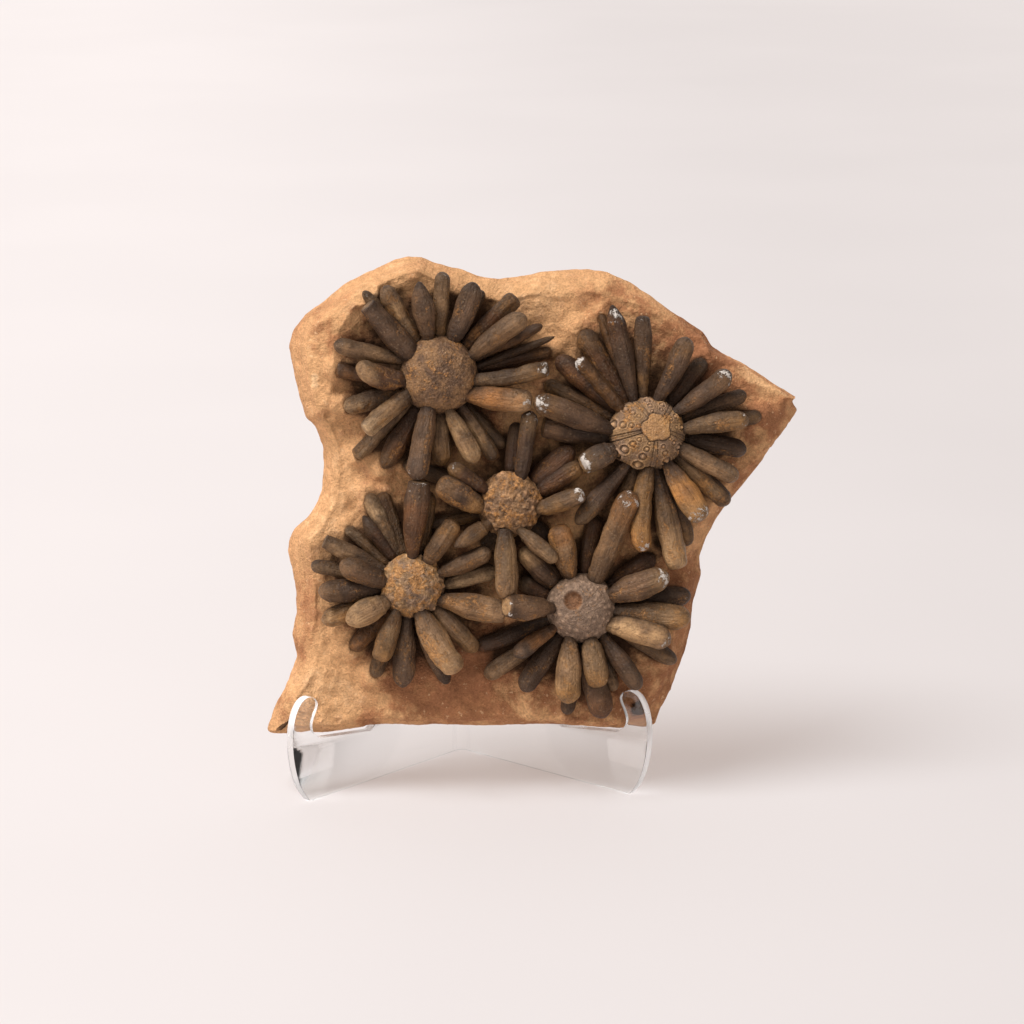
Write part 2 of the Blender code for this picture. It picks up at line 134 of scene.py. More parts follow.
def closed_line(curve: bpy.types.Curve, corners: list[tuple[float, float]]) -> None:
    """Gives a flat curve one closed line through corners in metres."""
    line = curve.splines.new("POLY")
    line.points.add(len(corners) - 1)
    for point, (x, y) in zip(line.points, corners):
        point.co = (x, y, 0.0, 1.0)
    line.use_cyclic_u = True


# ---------------------------------------------------------------- shader expressions


class Signal:
    """A shader socket that Python's operators work on, one Math node for each."""

    def __init__(self, graph: "Graph", socket: bpy.types.NodeSocket) -> None:
        """Keeps the graph and the socket."""
        self.graph = graph
        self.socket = socket

    def _math(self, operation: str, first: object, second: object = 0.0) -> "Signal":
        """Adds a Math node for an operation on two values."""
        return self.graph.add("ShaderNodeMath", {"operation": operation}, {0: first, 1: second})

    def __add__(self, other: object) -> "Signal":
        """self + other"""
        return self._math("ADD", self, other)

    def __radd__(self, other: object) -> "Signal":
        """other + self"""
        return self._math("ADD", other, self)

    def __sub__(self, other: object) -> "Signal":
        """self - other"""
        return self._math("SUBTRACT", self, other)

    def __rsub__(self, other: object) -> "Signal":
        """other - self"""
        return self._math("SUBTRACT", other, self)

    def __mul__(self, other: object) -> "Signal":
        """self * other"""
        return self._math("MULTIPLY", self, other)

    def __rmul__(self, other: object) -> "Signal":
        """other * self"""
        return self._math("MULTIPLY", other, self)

    def step(self, low: float, high: float, to_low: float = 0.0, to_high: float = 1.0) -> "Signal":
        """Maps low..high smoothly to to_low..to_high, and holds the ends."""
        return self.graph.add(
            "ShaderNodeMapRange",
            {"interpolation_type": "SMOOTHSTEP"},
            {"Value": self, "From Min": low, "From Max": high, "To Min": to_low, "To Max": to_high},
        )


class Graph:
    """The node tree of a material or a sky, with its shader and ways to add nodes."""

    def __init__(
        self, owner: bpy.types.Material | bpy.types.World, shader: str = "Principled BSDF"
    ) -> None:
        """Starts from a new material's or sky's own shader."""
        self.owner = owner
        self.owner.use_nodes = True
        self.tree = self.owner.node_tree
        self.shader = self.tree.nodes[shader]

    def add(self, kind: str, settings: dict, sockets: dict, output: int | str = 0) -> Signal:
        """Adds a node.

        Args:
            kind: the node's type.
            settings: its properties, set before its sockets.
            sockets: values or signals by socket name or number.
            output: the output that is returned.

        Returns:
            The chosen output as a signal.
        """
        node = self.tree.nodes.new(kind)
        for key, value in settings.items():
            setattr(node, key, value)
        for key, value in sockets.items():
            self.feed(node.inputs[key], value)
        return Signal(self, node.outputs[output])

    def feed(self, socket: bpy.types.NodeSocket, value: object) -> None:
        """Links a signal to a socket, or sets the socket to a plain value."""
        if isinstance(value, Signal):
            self.tree.links.new(value.socket, socket)
            return
        if isinstance(value, tuple) and socket.type == "RGBA" and len(value) == 3:
            value = (*value, 1.0)
        socket.default_value = value

    def attribute(self, name: str, output: str = "Color") -> Signal:
        """Reads a mesh attribute."""
        return self.add("ShaderNodeAttribute", {"attribute_name": name}, {}, output)

    def split(self, vector: Signal) -> list[Signal]:
        """The three parts of a vector."""
        parts = self.add("ShaderNodeSeparateXYZ", {}, {0: vector})
        return [Signal(self, parts.socket.node.outputs[k]) for k in range(3)]

    def noise(self, place: Signal, size: float, detail: float = 3.0, rough: float = 0.55) -> Signal:
        """Random values spread over 0 to 1, with swells of a size in the place's units."""
        drift = self.add(
            "ShaderNodeTexNoise",
            {},
            {"Vector": place, "Scale": 1.0 / size, "Detail": detail, "Roughness": rough},
            "Fac",
        )
        return drift.step(0.34, 0.66)

    def stretch(self, place: Signal, factors: tuple[float, float, float]) -> Signal:
        """A place with each of its parts scaled."""
        return self.add("ShaderNodeVectorMath", {"operation": "MULTIPLY"}, {0: place, 1: factors})

    def cells(self, place: Signal, size: float) -> Signal:
        """Distance to the nearest of many scattered points, as a share of their spacing."""
        return self.add(
            "ShaderNodeTexVoronoi", {}, {"Vector": place, "Scale": 1.0 / size}, "Distance"
        )

    def blend(self, share: object, first: object, second: object) -> Signal:
        """Mixes two colours."""
        return self.add(
            "ShaderNodeMix", {"data_type": "RGBA"}, {0: share, 6: first, 7: second}, 2
        )

    def tint(self, colour: object, brightness: Signal) -> Signal:
        """A colour times a brightness."""
        return self.add(
            "ShaderNodeVectorMath", {"operation": "SCALE"}, {"Vector": colour, "Scale": brightness}
        )

    def bump(self, height: Signal, distance: float, strength: float = 1.0) -> Signal:
        """A normal from a height that spans a distance in metres."""
        return self.add(
            "ShaderNodeBump", {}, {"Height": height, "Distance": distance, "Strength": strength}
        )

    def set(self, **sockets: object) -> bpy.types.Material | bpy.types.World:
        """Feeds the shader's sockets, named in lower case with underscores, and gives the owner."""
        names = {socket.name.lower().replace(" ", "_"): socket for socket in self.shader.inputs}
        for name, value in sockets.items():
            self.feed(names[name], value)
        return self.owner


# ---------------------------------------------------------------- the drawn view


@dataclass(frozen=True)
class DrawnView:
    """The view that the outlines are drawn in, and the slab's frame that they are laid out in.

    The places are seen from the stand's fold, where its two wings meet on the ground.
    """

    distance: float = 1.68
    azimuth: float = -3.87
    height_angle: float = 13.86
    target: Vector = Vector((23.9, 0.0, 114.7)) * MM
    lens: float = 127.5
    film: float = 36.0
    picture: float = 1024.0
    lean: float = 10.0
    slab_seat: Vector = Vector((28.4, -67.0, 31.0)) * MM
    mm_per_step: float = 0.45

    def axes(self) -> tuple[Vector, Vector, Vector]:
        """The view's right and up directions, and the one from the slab back to the eye."""
        side, rise = math.radians(self.azimuth), math.radians(self.height_angle)
        back = Vector(
            (math.sin(side) * math.cos(rise), -math.cos(side) * math.cos(rise), math.sin(rise))
        )
        right = Vector((math.cos(side), math.sin(side), 0.0))
        return right, back.cross(right), back

    def slab_frame(self) -> Matrix:
        """The slab's frame, seen from the fold."""
        turn = Matrix.Rotation(math.radians(90.0 - self.lean), 4, "X")
        return Matrix.Translation(self.slab_seat) @ turn

    def eye(self) -> Vector:
        """The eye's place, seen from the fold."""
        return self.target + self.axes()[2] * self.distance

    def place(self, x: float, y: float, height: float = 0.0) -> Vector:
        """The place on the slab that a drawn point shows.

        Args:
            x: steps to the right.
            y: steps down.
            height: height over the slab's face, in metres.

        Returns:
            The place in the slab's frame.
        """
        right, up, back = self.axes()
        into_slab = self.slab_frame().inverted()
        steps = self.lens / self.film * self.picture
        across, above = (x - self.picture / 2) / steps, (self.picture / 2 - y) / steps
        ray = into_slab.to_3x3() @ (right * across + up * above - back)
        eye = into_slab @ self.eye()
        return eye + ray * ((height - eye.z) / ray.z)

    def on_face(self, x: float, y: float) -> np.ndarray:
        """The u and v of a drawn point at the height of the slab's plain face."""
        return np.array(self.place(x, y)[:2])

    def polar(self, middle: tuple[float, float], bearing: float, reach: float, height: float) -> Vector:
        """The place at a bearing in degrees and a reach in millimetres from a drawn middle."""
        steps = reach / self.mm_per_step
        angle = math.radians(bearing)
        return self.place(
            middle[0] + steps * math.cos(angle), middle[1] - steps * math.sin(angle), height
        )


VIEW = DrawnView()


def fold_place() -> Vector:
    """Where the stand's fold meets the ground, from the stand's own box."""
    low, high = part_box("acrylic_stand")
    return Vector(((low[0] + high[0]) / 2, high[1] - FoldedStand.sheet / 2, 0.0))


def finish_piece(
    name: str,
    mesh: bpy.types.Mesh,
    materials: list[bpy.types.Material],
    place: Matrix,
    nodes: list[str],
) -> bpy.types.Object:
    """Puts a mesh in the scene as a piece of the object.

    Args:
        name: the piece's name.
        mesh: its mesh, in the frame that place gives.
        materials: its finishes, by its faces' material numbers.
        place: the matrix from the mesh's frame to the world.
        nodes: the solids that it stands for.

    Returns:
        The new object.
    """
    numbers = np.zeros(len(mesh.polygons), np.int32)
    mesh.polygons.foreach_get("material_index", numbers)
    mesh.materials.clear()
    for material in materials:
        mesh.materials.append(material)
    mesh.polygons.foreach_set("material_index", numbers)
    mesh.transform(place)
    piece = linked(name, mesh)
    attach(piece, BODY)
    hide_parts(*nodes)
    LOG.info("%s: %d faces", name, len(mesh.polygons))
    return piece


# ---------------------------------------------------------------- finishes


@dataclass(frozen=True)
class RockFinish:
    """Sandy limestone: tan with pale and rusty patches, fine dark specks and a gritty face, with painted
    shade and some grime near and under the clubs.
    """

    tan: Colour = from_display(212, 162, 115)
    pale: Colour = from_display(238, 196, 150)
    rust: Colour = from_display(172, 116, 78)
    clay: Colour = from_display(206, 152, 108)
    umber: Colour = from_display(152, 102, 71)
    shade_grime: Colour = from_display(58, 39, 26)
    speck: Colour = from_display(126, 86, 58)

    def build(self) -> bpy.types.Material:
        """Makes the rock's material, which reads the slab's lie and wear, its painted shade with grime, and
        its nearness to the clubs.
        """
        graph = Graph(bpy.data.materials.new("sandy_rock"))
        place = graph.attribute("lie", "Vector")
        bleached, broken, stained = graph.split(graph.attribute("wear", "Vector"))
        dirt = graph.attribute("dirt", "Fac")
        broad = graph.noise(place, 0.034, 4.0)
        patches = graph.noise(place, 0.012, 5.0, 0.6)
        mottle = graph.noise(place, 0.0046, 5.0, 0.62)
        grain = graph.noise(place, 0.0017, 4.0, 0.7)
        sand = graph.noise(place, 0.0009, 2.0, 0.7)
        layers = graph.noise(graph.stretch(place, (0.12, 0.12, 1.0)), 0.0024)
        rusty = broad * 0.40 + patches * 0.42 + mottle * 0.25 + stained * 0.6 - bleached * 0.5
        colour = graph.blend(rusty.step(0.46, 1.05) * 0.85, self.tan, self.rust)
        bright = patches * 0.34 + mottle * 0.34 + bleached * 0.72 - stained * 0.4
        colour = graph.blend(bright.step(0.36, 1.30) * 0.85, colour, self.pale)
        colour = graph.blend(broken * layers.step(0.1, 0.9, 0.20, 0.65), colour, self.clay)
        browned = (stained * 1.05 + patches * 0.60 + mottle * 0.40 - 0.55).step(0.10, 0.95)
        colour = graph.blend(browned * 0.88, colour, self.umber)
        specks = (grain * 0.8 + patches * 0.3).step(0.90, 1.04)
        colour = graph.blend(specks * 0.6, colour, self.speck)
        dust = (1.0 - grain) * mottle
        colour = graph.blend(dust.step(0.66, 0.92) * 0.5, colour, self.pale)
        # Painted shade with some grime: the rock darkens where it is closed in and near the clubs' roots.
        grimed_and_shaded = dirt * 1.25 + graph.attribute("near", "Fac") * 0.55 + mottle * 0.22 - 0.30
        colour = graph.blend(grimed_and_shaded.step(0.12, 0.80) * 0.94, colour, self.shade_grime)
        colour = graph.tint(colour, 0.67 + sand * 0.24 + grain * 0.24 + mottle * 0.20)
        height = mottle * 0.55 + grain * 0.45 + sand * 0.25 + broken * layers * 0.5
        normal = graph.bump(height, 0.0008, 0.75)
        return graph.set(base_color=colour, roughness=0.95, normal=normal, specular_ior_level=0.15)


@dataclass(frozen=True)
class FossilFinish:
    """Brown calcite: each club in its own tone, streaked along its length, gritty and glue-flecked, with
    painted shade and some grime where it is closed in and underneath.
    """

    name: str = "fossil_club"
    glue: Colour = from_display(222, 212, 202)
    sand: Colour = from_display(196, 150, 104)
    ochre: Colour = from_display(190, 132, 72)
    dust: Colour = from_display(196, 164, 128)
    pit: Colour = from_display(58, 42, 31)
    shade_grime: Colour = from_display(42, 28, 19)
    streak_stretch: float = 0.06

    def build(self) -> bpy.types.Material:
        """Makes the clubs' material, which reads each club's tone, grain and traits, and its painted shade
        with grime.
        """
        graph = Graph(bpy.data.materials.new(self.name))
        grain = graph.attribute("grain", "Vector")
        fleck, crust, bury = graph.split(graph.attribute("traits", "Vector"))
        tone = graph.attribute("tone")
        dirt = graph.attribute("dirt", "Fac")
        streaks = graph.noise(graph.stretch(grain, (1.0, 1.0, self.streak_stretch)), 0.0012, 2.0, 0.5)
        threads = graph.noise(graph.stretch(grain, (1.0, 1.0, self.streak_stretch / 2)), 0.0006, 2.0)
        mottle = graph.noise(grain, 0.0048, 5.0, 0.65)
        patches = graph.noise(graph.stretch(grain, (1.0, 1.0, 0.45)), 0.0052, 5.0, 0.62)
        grit = graph.noise(grain, 0.0011, 3.0, 0.72)
        shade = 0.56 + mottle * 0.28 + streaks * 0.15 + threads * 0.22 + grit * 0.26
        colour = graph.tint(tone, shade)
        crusted = (patches + crust * 0.42 + (grit - 0.5) * 0.34).step(0.76, 1.18)
        colour = graph.blend(crusted * 0.62, colour, graph.tint(self.ochre, 0.58 + grit * 0.6))
        dots = graph.cells(grain, 0.0016).step(0.40, 0.16)
        dusty = dots * (mottle + crust * 0.3).step(0.45, 0.90)
        colour = graph.blend(dusty * 0.34, colour, self.dust)
        pitted = graph.noise(grain, 0.0018, 2.0).step(0.14, 0.02)
        colour = graph.blend(pitted * 0.22, colour, self.pit)
        sanded = (bury + (mottle - 0.5) * 0.7).step(0.25, 0.85)
        colour = graph.blend(sanded * 0.80, colour, graph.tint(self.sand, 0.55 + grit * 0.8))
        # Painted shade with some grime where the fossils are closed in by others and on their lower sides.
        grimed_and_shaded = (dirt + (mottle - 0.5) * 0.16).step(0.34, 0.92)
        colour = graph.blend(grimed_and_shaded * 0.88, colour, self.shade_grime)
        smear = graph.noise(grain, 0.0030, 6.0, 0.75)
        glued = (fleck + smear * 0.75).step(0.86, 1.0)
        colour = graph.blend(glued * 0.85, colour, self.glue)
        height = (
            streaks * 0.35 + threads * 0.25 + grit * 0.40 + mottle * 0.3 + dusty * 0.2 + crusted * 0.4
            + glued * 0.5 - pitted * 0.3
        )
        normal = graph.bump(height, 0.0005, 0.9)
        return graph.set(base_color=colour, roughness=0.46, normal=normal, specular_ior_level=0.28)


@dataclass(frozen=True)
class ClearSheetFinish:
    """Clear cast sheet: polished faces, or finely sawn edges that are less clear and glow faintly as painted
    light.
    """

    name: str = "clear_sheet"
    tint: Colour = (0.985, 0.992, 0.992)
    roughness: float = 0.02
    ior: float = 1.49
    clearness: float = 1.0
    painted_glow: float = 0.0

    def build(self) -> bpy.types.Material:
        """Makes the see-through material."""
        graph = Graph(bpy.data.materials.new(self.name))
        wipe = graph.noise(graph.add("ShaderNodeTexCoord", {}, {}, "Object"), 0.035, 3.0)
        return graph.set(
            base_color=self.tint,
            roughness=wipe.step(0.45, 0.8, self.roughness, self.roughness * 2.5),
            ior=self.ior, transmission_weight=self.clearness,
            emission_color=self.tint, emission_strength=self.painted_glow,
        )


@dataclass(frozen=True)
class PaperFinish:
    """The pale matt floor, which glows faintly as painted fill light in a warm painted bounce colour, and is
    painted darker to the right.
    """

    colour: Colour = from_display(231, 235, 241)
    painted_fill_colour: Colour = from_display(251, 228, 216)
    share: float = 0.40
    painted_glow: float = 0.43

    def build(self) -> bpy.types.Material:
        """Makes the floor's material."""
        graph = Graph(bpy.data.materials.new("pale_paper"))
        place = graph.add("ShaderNodeTexCoord", {}, {}, "Object")
        cloud = graph.noise(place, 0.4, 2.0) * 0.02
        # Painted light falloff: the floor's colour and its painted glow darken to the right.
        shade = cloud + graph.split(place)[0].step(-0.35, 0.45, 1.03, 0.84)
        return graph.set(
            base_color=graph.tint(self.colour, shade * self.share), roughness=0.8,
            emission_color=graph.tint(self.painted_fill_colour, shade), emission_strength=self.painted_glow,
        )


# ---------------------------------------------------------------- the plans of the urchins


class Tone(Enum):
    """A club's main colour and the one that mottles it, as display colours."""

    BLACK = ((84, 61, 43), (60, 43, 30))
    DARK = ((112, 83, 60), (80, 58, 41))
    UMBER = ((130, 97, 69), (94, 69, 48))
    PLUM = ((134, 104, 80), (100, 76, 58))
    RUSTY = ((124, 82, 50), (90, 60, 38))
    GREY = ((142, 112, 87), (102, 80, 62))
    BROWN = ((150, 112, 76), (110, 81, 54))
    OLIVE = ((158, 122, 84), (116, 88, 60))
    WARM = ((190, 128, 72), (140, 98, 60))
    OCHRE = ((188, 138, 84), (134, 100, 64))
    TAN = ((188, 146, 104), (144, 110, 78))
    SAND = ((216, 170, 120), (172, 132, 92))
    CREAM = ((240, 196, 146), (200, 158, 114))
    GOLD = ((214, 150, 84), (166, 114, 66))
    MAUVE = ((140, 114, 94), (104, 84, 68))


class Form(Enum):
    """A club's width along its length: (share of the length, share of the greatest width)."""

    CLUB = ((0.0, 0.44), (0.10, 0.50), (0.25, 0.76), (0.45, 0.94), (0.65, 1.0), (0.85, 0.95), (1.0, 0.80))
    PLUMP = ((0.0, 0.50), (0.10, 0.64), (0.25, 0.88), (0.45, 1.0), (0.65, 1.0), (0.85, 0.92), (1.0, 0.74))
    EVEN = ((0.0, 0.62), (0.10, 0.74), (0.25, 0.90), (0.50, 0.98), (0.75, 1.0), (0.90, 0.97), (1.0, 0.88))
    SLIM = ((0.0, 0.50), (0.15, 0.62), (0.35, 0.84), (0.60, 1.0), (0.80, 0.90), (0.92, 0.72), (1.0, 0.55))
    WEDGE = ((0.0, 0.92), (0.15, 1.0), (0.35, 1.0), (0.60, 0.92), (0.80, 0.82), (0.92, 0.74), (1.0, 0.66))
    WAISTED = ((0.0, 0.60), (0.07, 0.46), (0.20, 0.58), (0.40, 0.88), (0.65, 1.0), (0.85, 0.92), (1.0, 0.72))

    def width_at(self, along: np.ndarray) -> np.ndarray:
        """The share of the greatest width at shares of the length."""
        shares, widths = zip(*self.value)
        fine = np.linspace(0.0, 1.0, 101)
        rough = np.interp(fine, shares, widths)
        padded = np.concatenate([np.full(6, rough[0]), rough, np.full(6, rough[-1])])
        smooth = np.convolve(padded, np.ones(13) / 13, mode="valid")
        return np.interp(along, fine, smooth)


class Tip(Enum):
    """How a club ends: the length of its rounding in half widths, and how square the end is."""

    ROUND = (1.0, 2.0)
    BLUNT = (0.6, 2.6)
    POINTED = (2.4, 1.7)
    BROKEN = (0.22, 3.4)


@dataclass(frozen=True)
class Tier:
    """How high a spine lies: its root over the face, and the gap under its thickest part, in mm."""

    root: float
    clear: float


LOW = Tier(4.6, 1.0)
SUB = Tier(6.2, 3.2)
MID = Tier(8.0, 5.4)
OVER = Tier(10.0, 7.8)
TOP = Tier(11.6, 10.2)


@dataclass(frozen=True)
class Club:
    """One club-shaped spine.

    The bearings are in degrees round the test's drawn middle, 0 to the right and turning to the
    top; reach, width, lift and bend are in millimetres.
    """

    tip_bearing: float
    reach: float
    width: float
    root_bearing: float
    tone: Tone
    form: Form = Form.CLUB
    tip: Tip = Tip.ROUND
    lift: float = 0.0
    bend: float = 0.0
    fleck: float = 0.0
    crust: float = 0.0
    end_tone: Tone | None = None
    root_tone: Tone | None = None


@dataclass(frozen=True)
class Knobs:
    """Rings of worn knobs on a test, from the middle out.

    rings holds (share of the way from the middle to the rim, count, radius in mm, height in mm).
    """

    rings: tuple[tuple[float, int, float, float], ...]
    scatter: float = 0.35

    def height(self, places: np.ndarray, rim: float, seed: float) -> np.ndarray:
        """How far the knobs stand out at places round the test's middle.

        Args:
            places: (n, 2) places in metres, spread out flat by arc length.
            rim: the distance of the rim from the middle, in metres.
            seed: a number that scatters the knobs in its own way.

        Returns:
            Heights in metres.
        """
        total = np.zeros(len(places))
        dice = np.random.default_rng(round(seed * 10))
        for row, (share, count, knob, rise) in enumerate(self.rings):
            for k in range(count):
                slip, step, swell = dice.normal(0.0, self.scatter, 3)
                turn = 2 * math.pi * (k + 0.5 * (row % 2) + 0.5 * slip) / count
                reach = rim * (share + 0.10 * step)
                middle = np.array((math.cos(turn), math.sin(turn))) * reach
                size = knob * MM * (1.0 + 0.35 * swell)
                away = np.linalg.norm(places - middle, axis=1) / size
                total += np.exp(-(away**2) * 1.3) * rise * MM
        return total


@dataclass(frozen=True)
class Columns:
    """Crisp tubercles in ten columns that run out from the apical disc, with furrows between pairs.

    The tubercles grow with their distance from the disc's middle, and each has a boss, a moat and
    a ring. Bearings are in degrees; sizes are in millimetres.
    """

    pole: tuple[float, float] = (3.4, 3.6)
    disc: float = 6.7
    furrow: float = 195.0
    spread: float = 15.0
    first: float = 8.3
    growth: float = 1.37
    size_share: float = 0.158
    rise_share: float = 0.30
    sectors: int = 5
    rows: int = 4

    def plate(self, places: np.ndarray) -> tuple[np.ndarray, np.ndarray]:
        """The share of the uneven apical disc at places, and their distances from its middle."""
        places = places - np.array(self.pole) * MM
        bearing = np.arctan2(places[:, 1], places[:, 0])
        uneven = 0.07 * np.cos(5 * bearing + 0.6) + 0.06 * np.cos(3 * bearing - 1.0)
        uneven += 0.04 * np.cos(8 * bearing)
        away = np.linalg.norm(places, axis=1) * (1.0 + uneven)
        return smooth_step(away, self.disc * MM, (self.disc - 0.9) * MM), away

    def height(self, places: np.ndarray, rim: float, seed: float) -> np.ndarray:
        """How far the tubercles, furrows and disc stand out; Args and Returns as for Knobs, but rim and seed
        are not used.
        """
        places = places - np.array(self.pole) * MM
        total = np.zeros(len(places))
        for sector in range(self.sectors):
            between = self.furrow + 360.0 / self.sectors * (sector + 0.5)
            for column in (-1, 1):
                angle = math.radians(between + column * self.spread)
                for row in range(self.rows):
                    reach = self.first * self.growth ** (row + 0.25 - 0.25 * column)
                    middle = np.array((math.cos(angle), math.sin(angle))) * reach * MM
                    size = reach * self.size_share * MM
                    away = np.linalg.norm(places - middle, axis=1) / size
                    knob = (
                        0.75 * np.exp(-((away / 0.27) ** 2)) + 0.55 * smooth_step(away, 0.62, 0.15)
                        - 0.45 * np.exp(-(((away - 0.70) / 0.15) ** 2))
                        + 0.50 * np.exp(-(((away - 0.97) / 0.14) ** 2))
                    )
                    total += knob * size * self.rise_share
        for sector in range(self.sectors):
            bearing = math.radians(self.furrow + 360.0 / self.sectors * sector)
            way = np.array((math.cos(bearing), math.sin(bearing)))
            out, side = places @ way, np.abs(places @ np.array((-way[1], way[0])))
            half = 0.35 * MM + 0.055 * np.maximum(out, 0.0)
            reach = smooth_step(out, 5 * MM, 7 * MM)
            total *= 1.0 - 0.85 * reach * smooth_step(side - half, 0.7 * MM, 0.2 * MM)
            line = np.exp(-(((side - half) / (0.28 * MM)) ** 2))
            line += 0.45 * np.exp(-((side / (0.25 * MM)) ** 2))
            total -= reach * line * (0.65 if sector == 0 else 0.42) * MM
        plate, away = self.plate(places + np.array(self.pole) * MM)
        total = total * (1 - plate * 0.9) + plate * 0.25 * MM
        return total - 0.45 * MM * np.exp(-(((away - (self.disc + 0.1) * MM) / (0.35 * MM)) ** 2))


@dataclass(frozen=True)
class UrchinPlan:
    """The drawn middle of an urchin's test, its sizes in mm, its surface and its clubs."""

    name: str
    middle: tuple[float, float]
    radius: float
    top: float
    clubs: dict[Tier, tuple[Club, ...]]
    knobs: Knobs | Columns
    tones: tuple[Tone, Tone]
    grain_height: float = 0.25
    grain_size: float = 1.3
    crust: float = 0.3
    seed: float = 0.0
    rings: int = 96
    sides: int = 190
    flatten: float = 0.0
    hole: tuple[float, float, float] | None = None


T, F, E = Tone, Form, Tip
UPPER_LEFT = UrchinPlan(
    name="urchin_upper_left", middle=(438.7, 375.0), radius=17.3, top=20.5, seed=3.1,
    knobs=Knobs(((0.4, 10, 1.3, 0.08), (0.66, 14, 1.3, 0.12), (0.98, 26, 0.9, 0.10))),
    tones=(T.BROWN, T.DARK), grain_height=0.26, grain_size=0.9, crust=0.10,
    clubs={
        TOP: (
            Club(173.6, 37.4, 10.3, 192, T.RUSTY, F.PLUMP, bend=-1.5, crust=0.3, end_tone=T.SAND),
            Club(217, 42, 8.7, 211, T.SAND, F.EVEN, E.BLUNT, crust=0.5, end_tone=T.CREAM,
                 root_tone=T.OLIVE),
            Club(257.7, 48.6, 10.3, 253, T.UMBER, F.EVEN, fleck=0.12, end_tone=T.PLUM),
            Club(293, 43, 8.7, 285, T.SAND, crust=0.2),
            Club(344, 43.7, 11, 323, T.WARM, F.PLUMP, E.BLUNT, fleck=0.18, end_tone=T.TAN),
            Club(3.7, 49.8, 8, 350, T.OLIVE, F.EVEN, E.BLUNT, bend=1.2, fleck=0.2, crust=0.3,
                 end_tone=T.OCHRE),
            Club(34, 47.5, 9.7, 29, T.BROWN, bend=-0.8, end_tone=T.TAN),
        ),
        OVER: (
            Club(102, 43, 10.3, 107, T.UMBER, F.CLUB, E.POINTED, crust=0.1),
            Club(135.6, 45.2, 11, 144, T.DARK, F.WEDGE, E.BROKEN),
            Club(68.8, 44.7, 9.7, 69, T.DARK, F.PLUMP, bend=0.8, end_tone=T.UMBER),
        ),
        MID: (
            Club(163.6, 49.2, 8.2, 157, T.TAN),
            Club(304, 46, 6.5, 306, T.SAND, F.EVEN, end_tone=T.OLIVE, root_tone=T.UMBER),
            Club(18.3, 55, 3.5, 10, T.BROWN, F.SLIM, E.POINTED, end_tone=T.SAND),
        ),
        SUB: (
            Club(88, 46.5, 7.4, 89, T.TAN, F.EVEN, crust=0.2, root_tone=T.OCHRE),
            Club(121.5, 47, 8.4, 128, T.SAND, F.EVEN, crust=1.0, end_tone=T.TAN),
            Club(272, 41, 8.6, 272, T.TAN, end_tone=T.OCHRE),
            Club(25.6, 51.8, 6, 25, T.WARM, F.SLIM),
            Club(45.3, 49.6, 8.4, 46.5, T.RUSTY, F.EVEN, E.BLUNT, crust=0.9, end_tone=T.OLIVE),
        ),
        LOW: (
            Club(132, 50.8, 6, 132, T.OLIVE, F.SLIM, crust=0.5, end_tone=T.SAND),
            Club(177, 46.6, 7.6, 190, T.RUSTY, F.EVEN, E.BLUNT, end_tone=T.WARM),
            Club(199, 45.2, 9, 203, T.BROWN, F.EVEN, crust=0.6, end_tone=T.CREAM),
            Club(224.5, 52.5, 6.5, 222, T.TAN, F.EVEN, E.BLUNT, crust=0.5, end_tone=T.SAND),
            Club(239, 49, 10, 237, T.RUSTY, F.SLIM, end_tone=T.BROWN),
            Club(312, 44, 6.1, 310, T.OLIVE, F.EVEN),
            Club(62.7, 42.9, 5, 61, T.DARK, F.EVEN, end_tone=T.BROWN),
            Club(12, 52, 6, 10, T.RUSTY, F.EVEN, end_tone=T.WARM),
        ),
    },
)
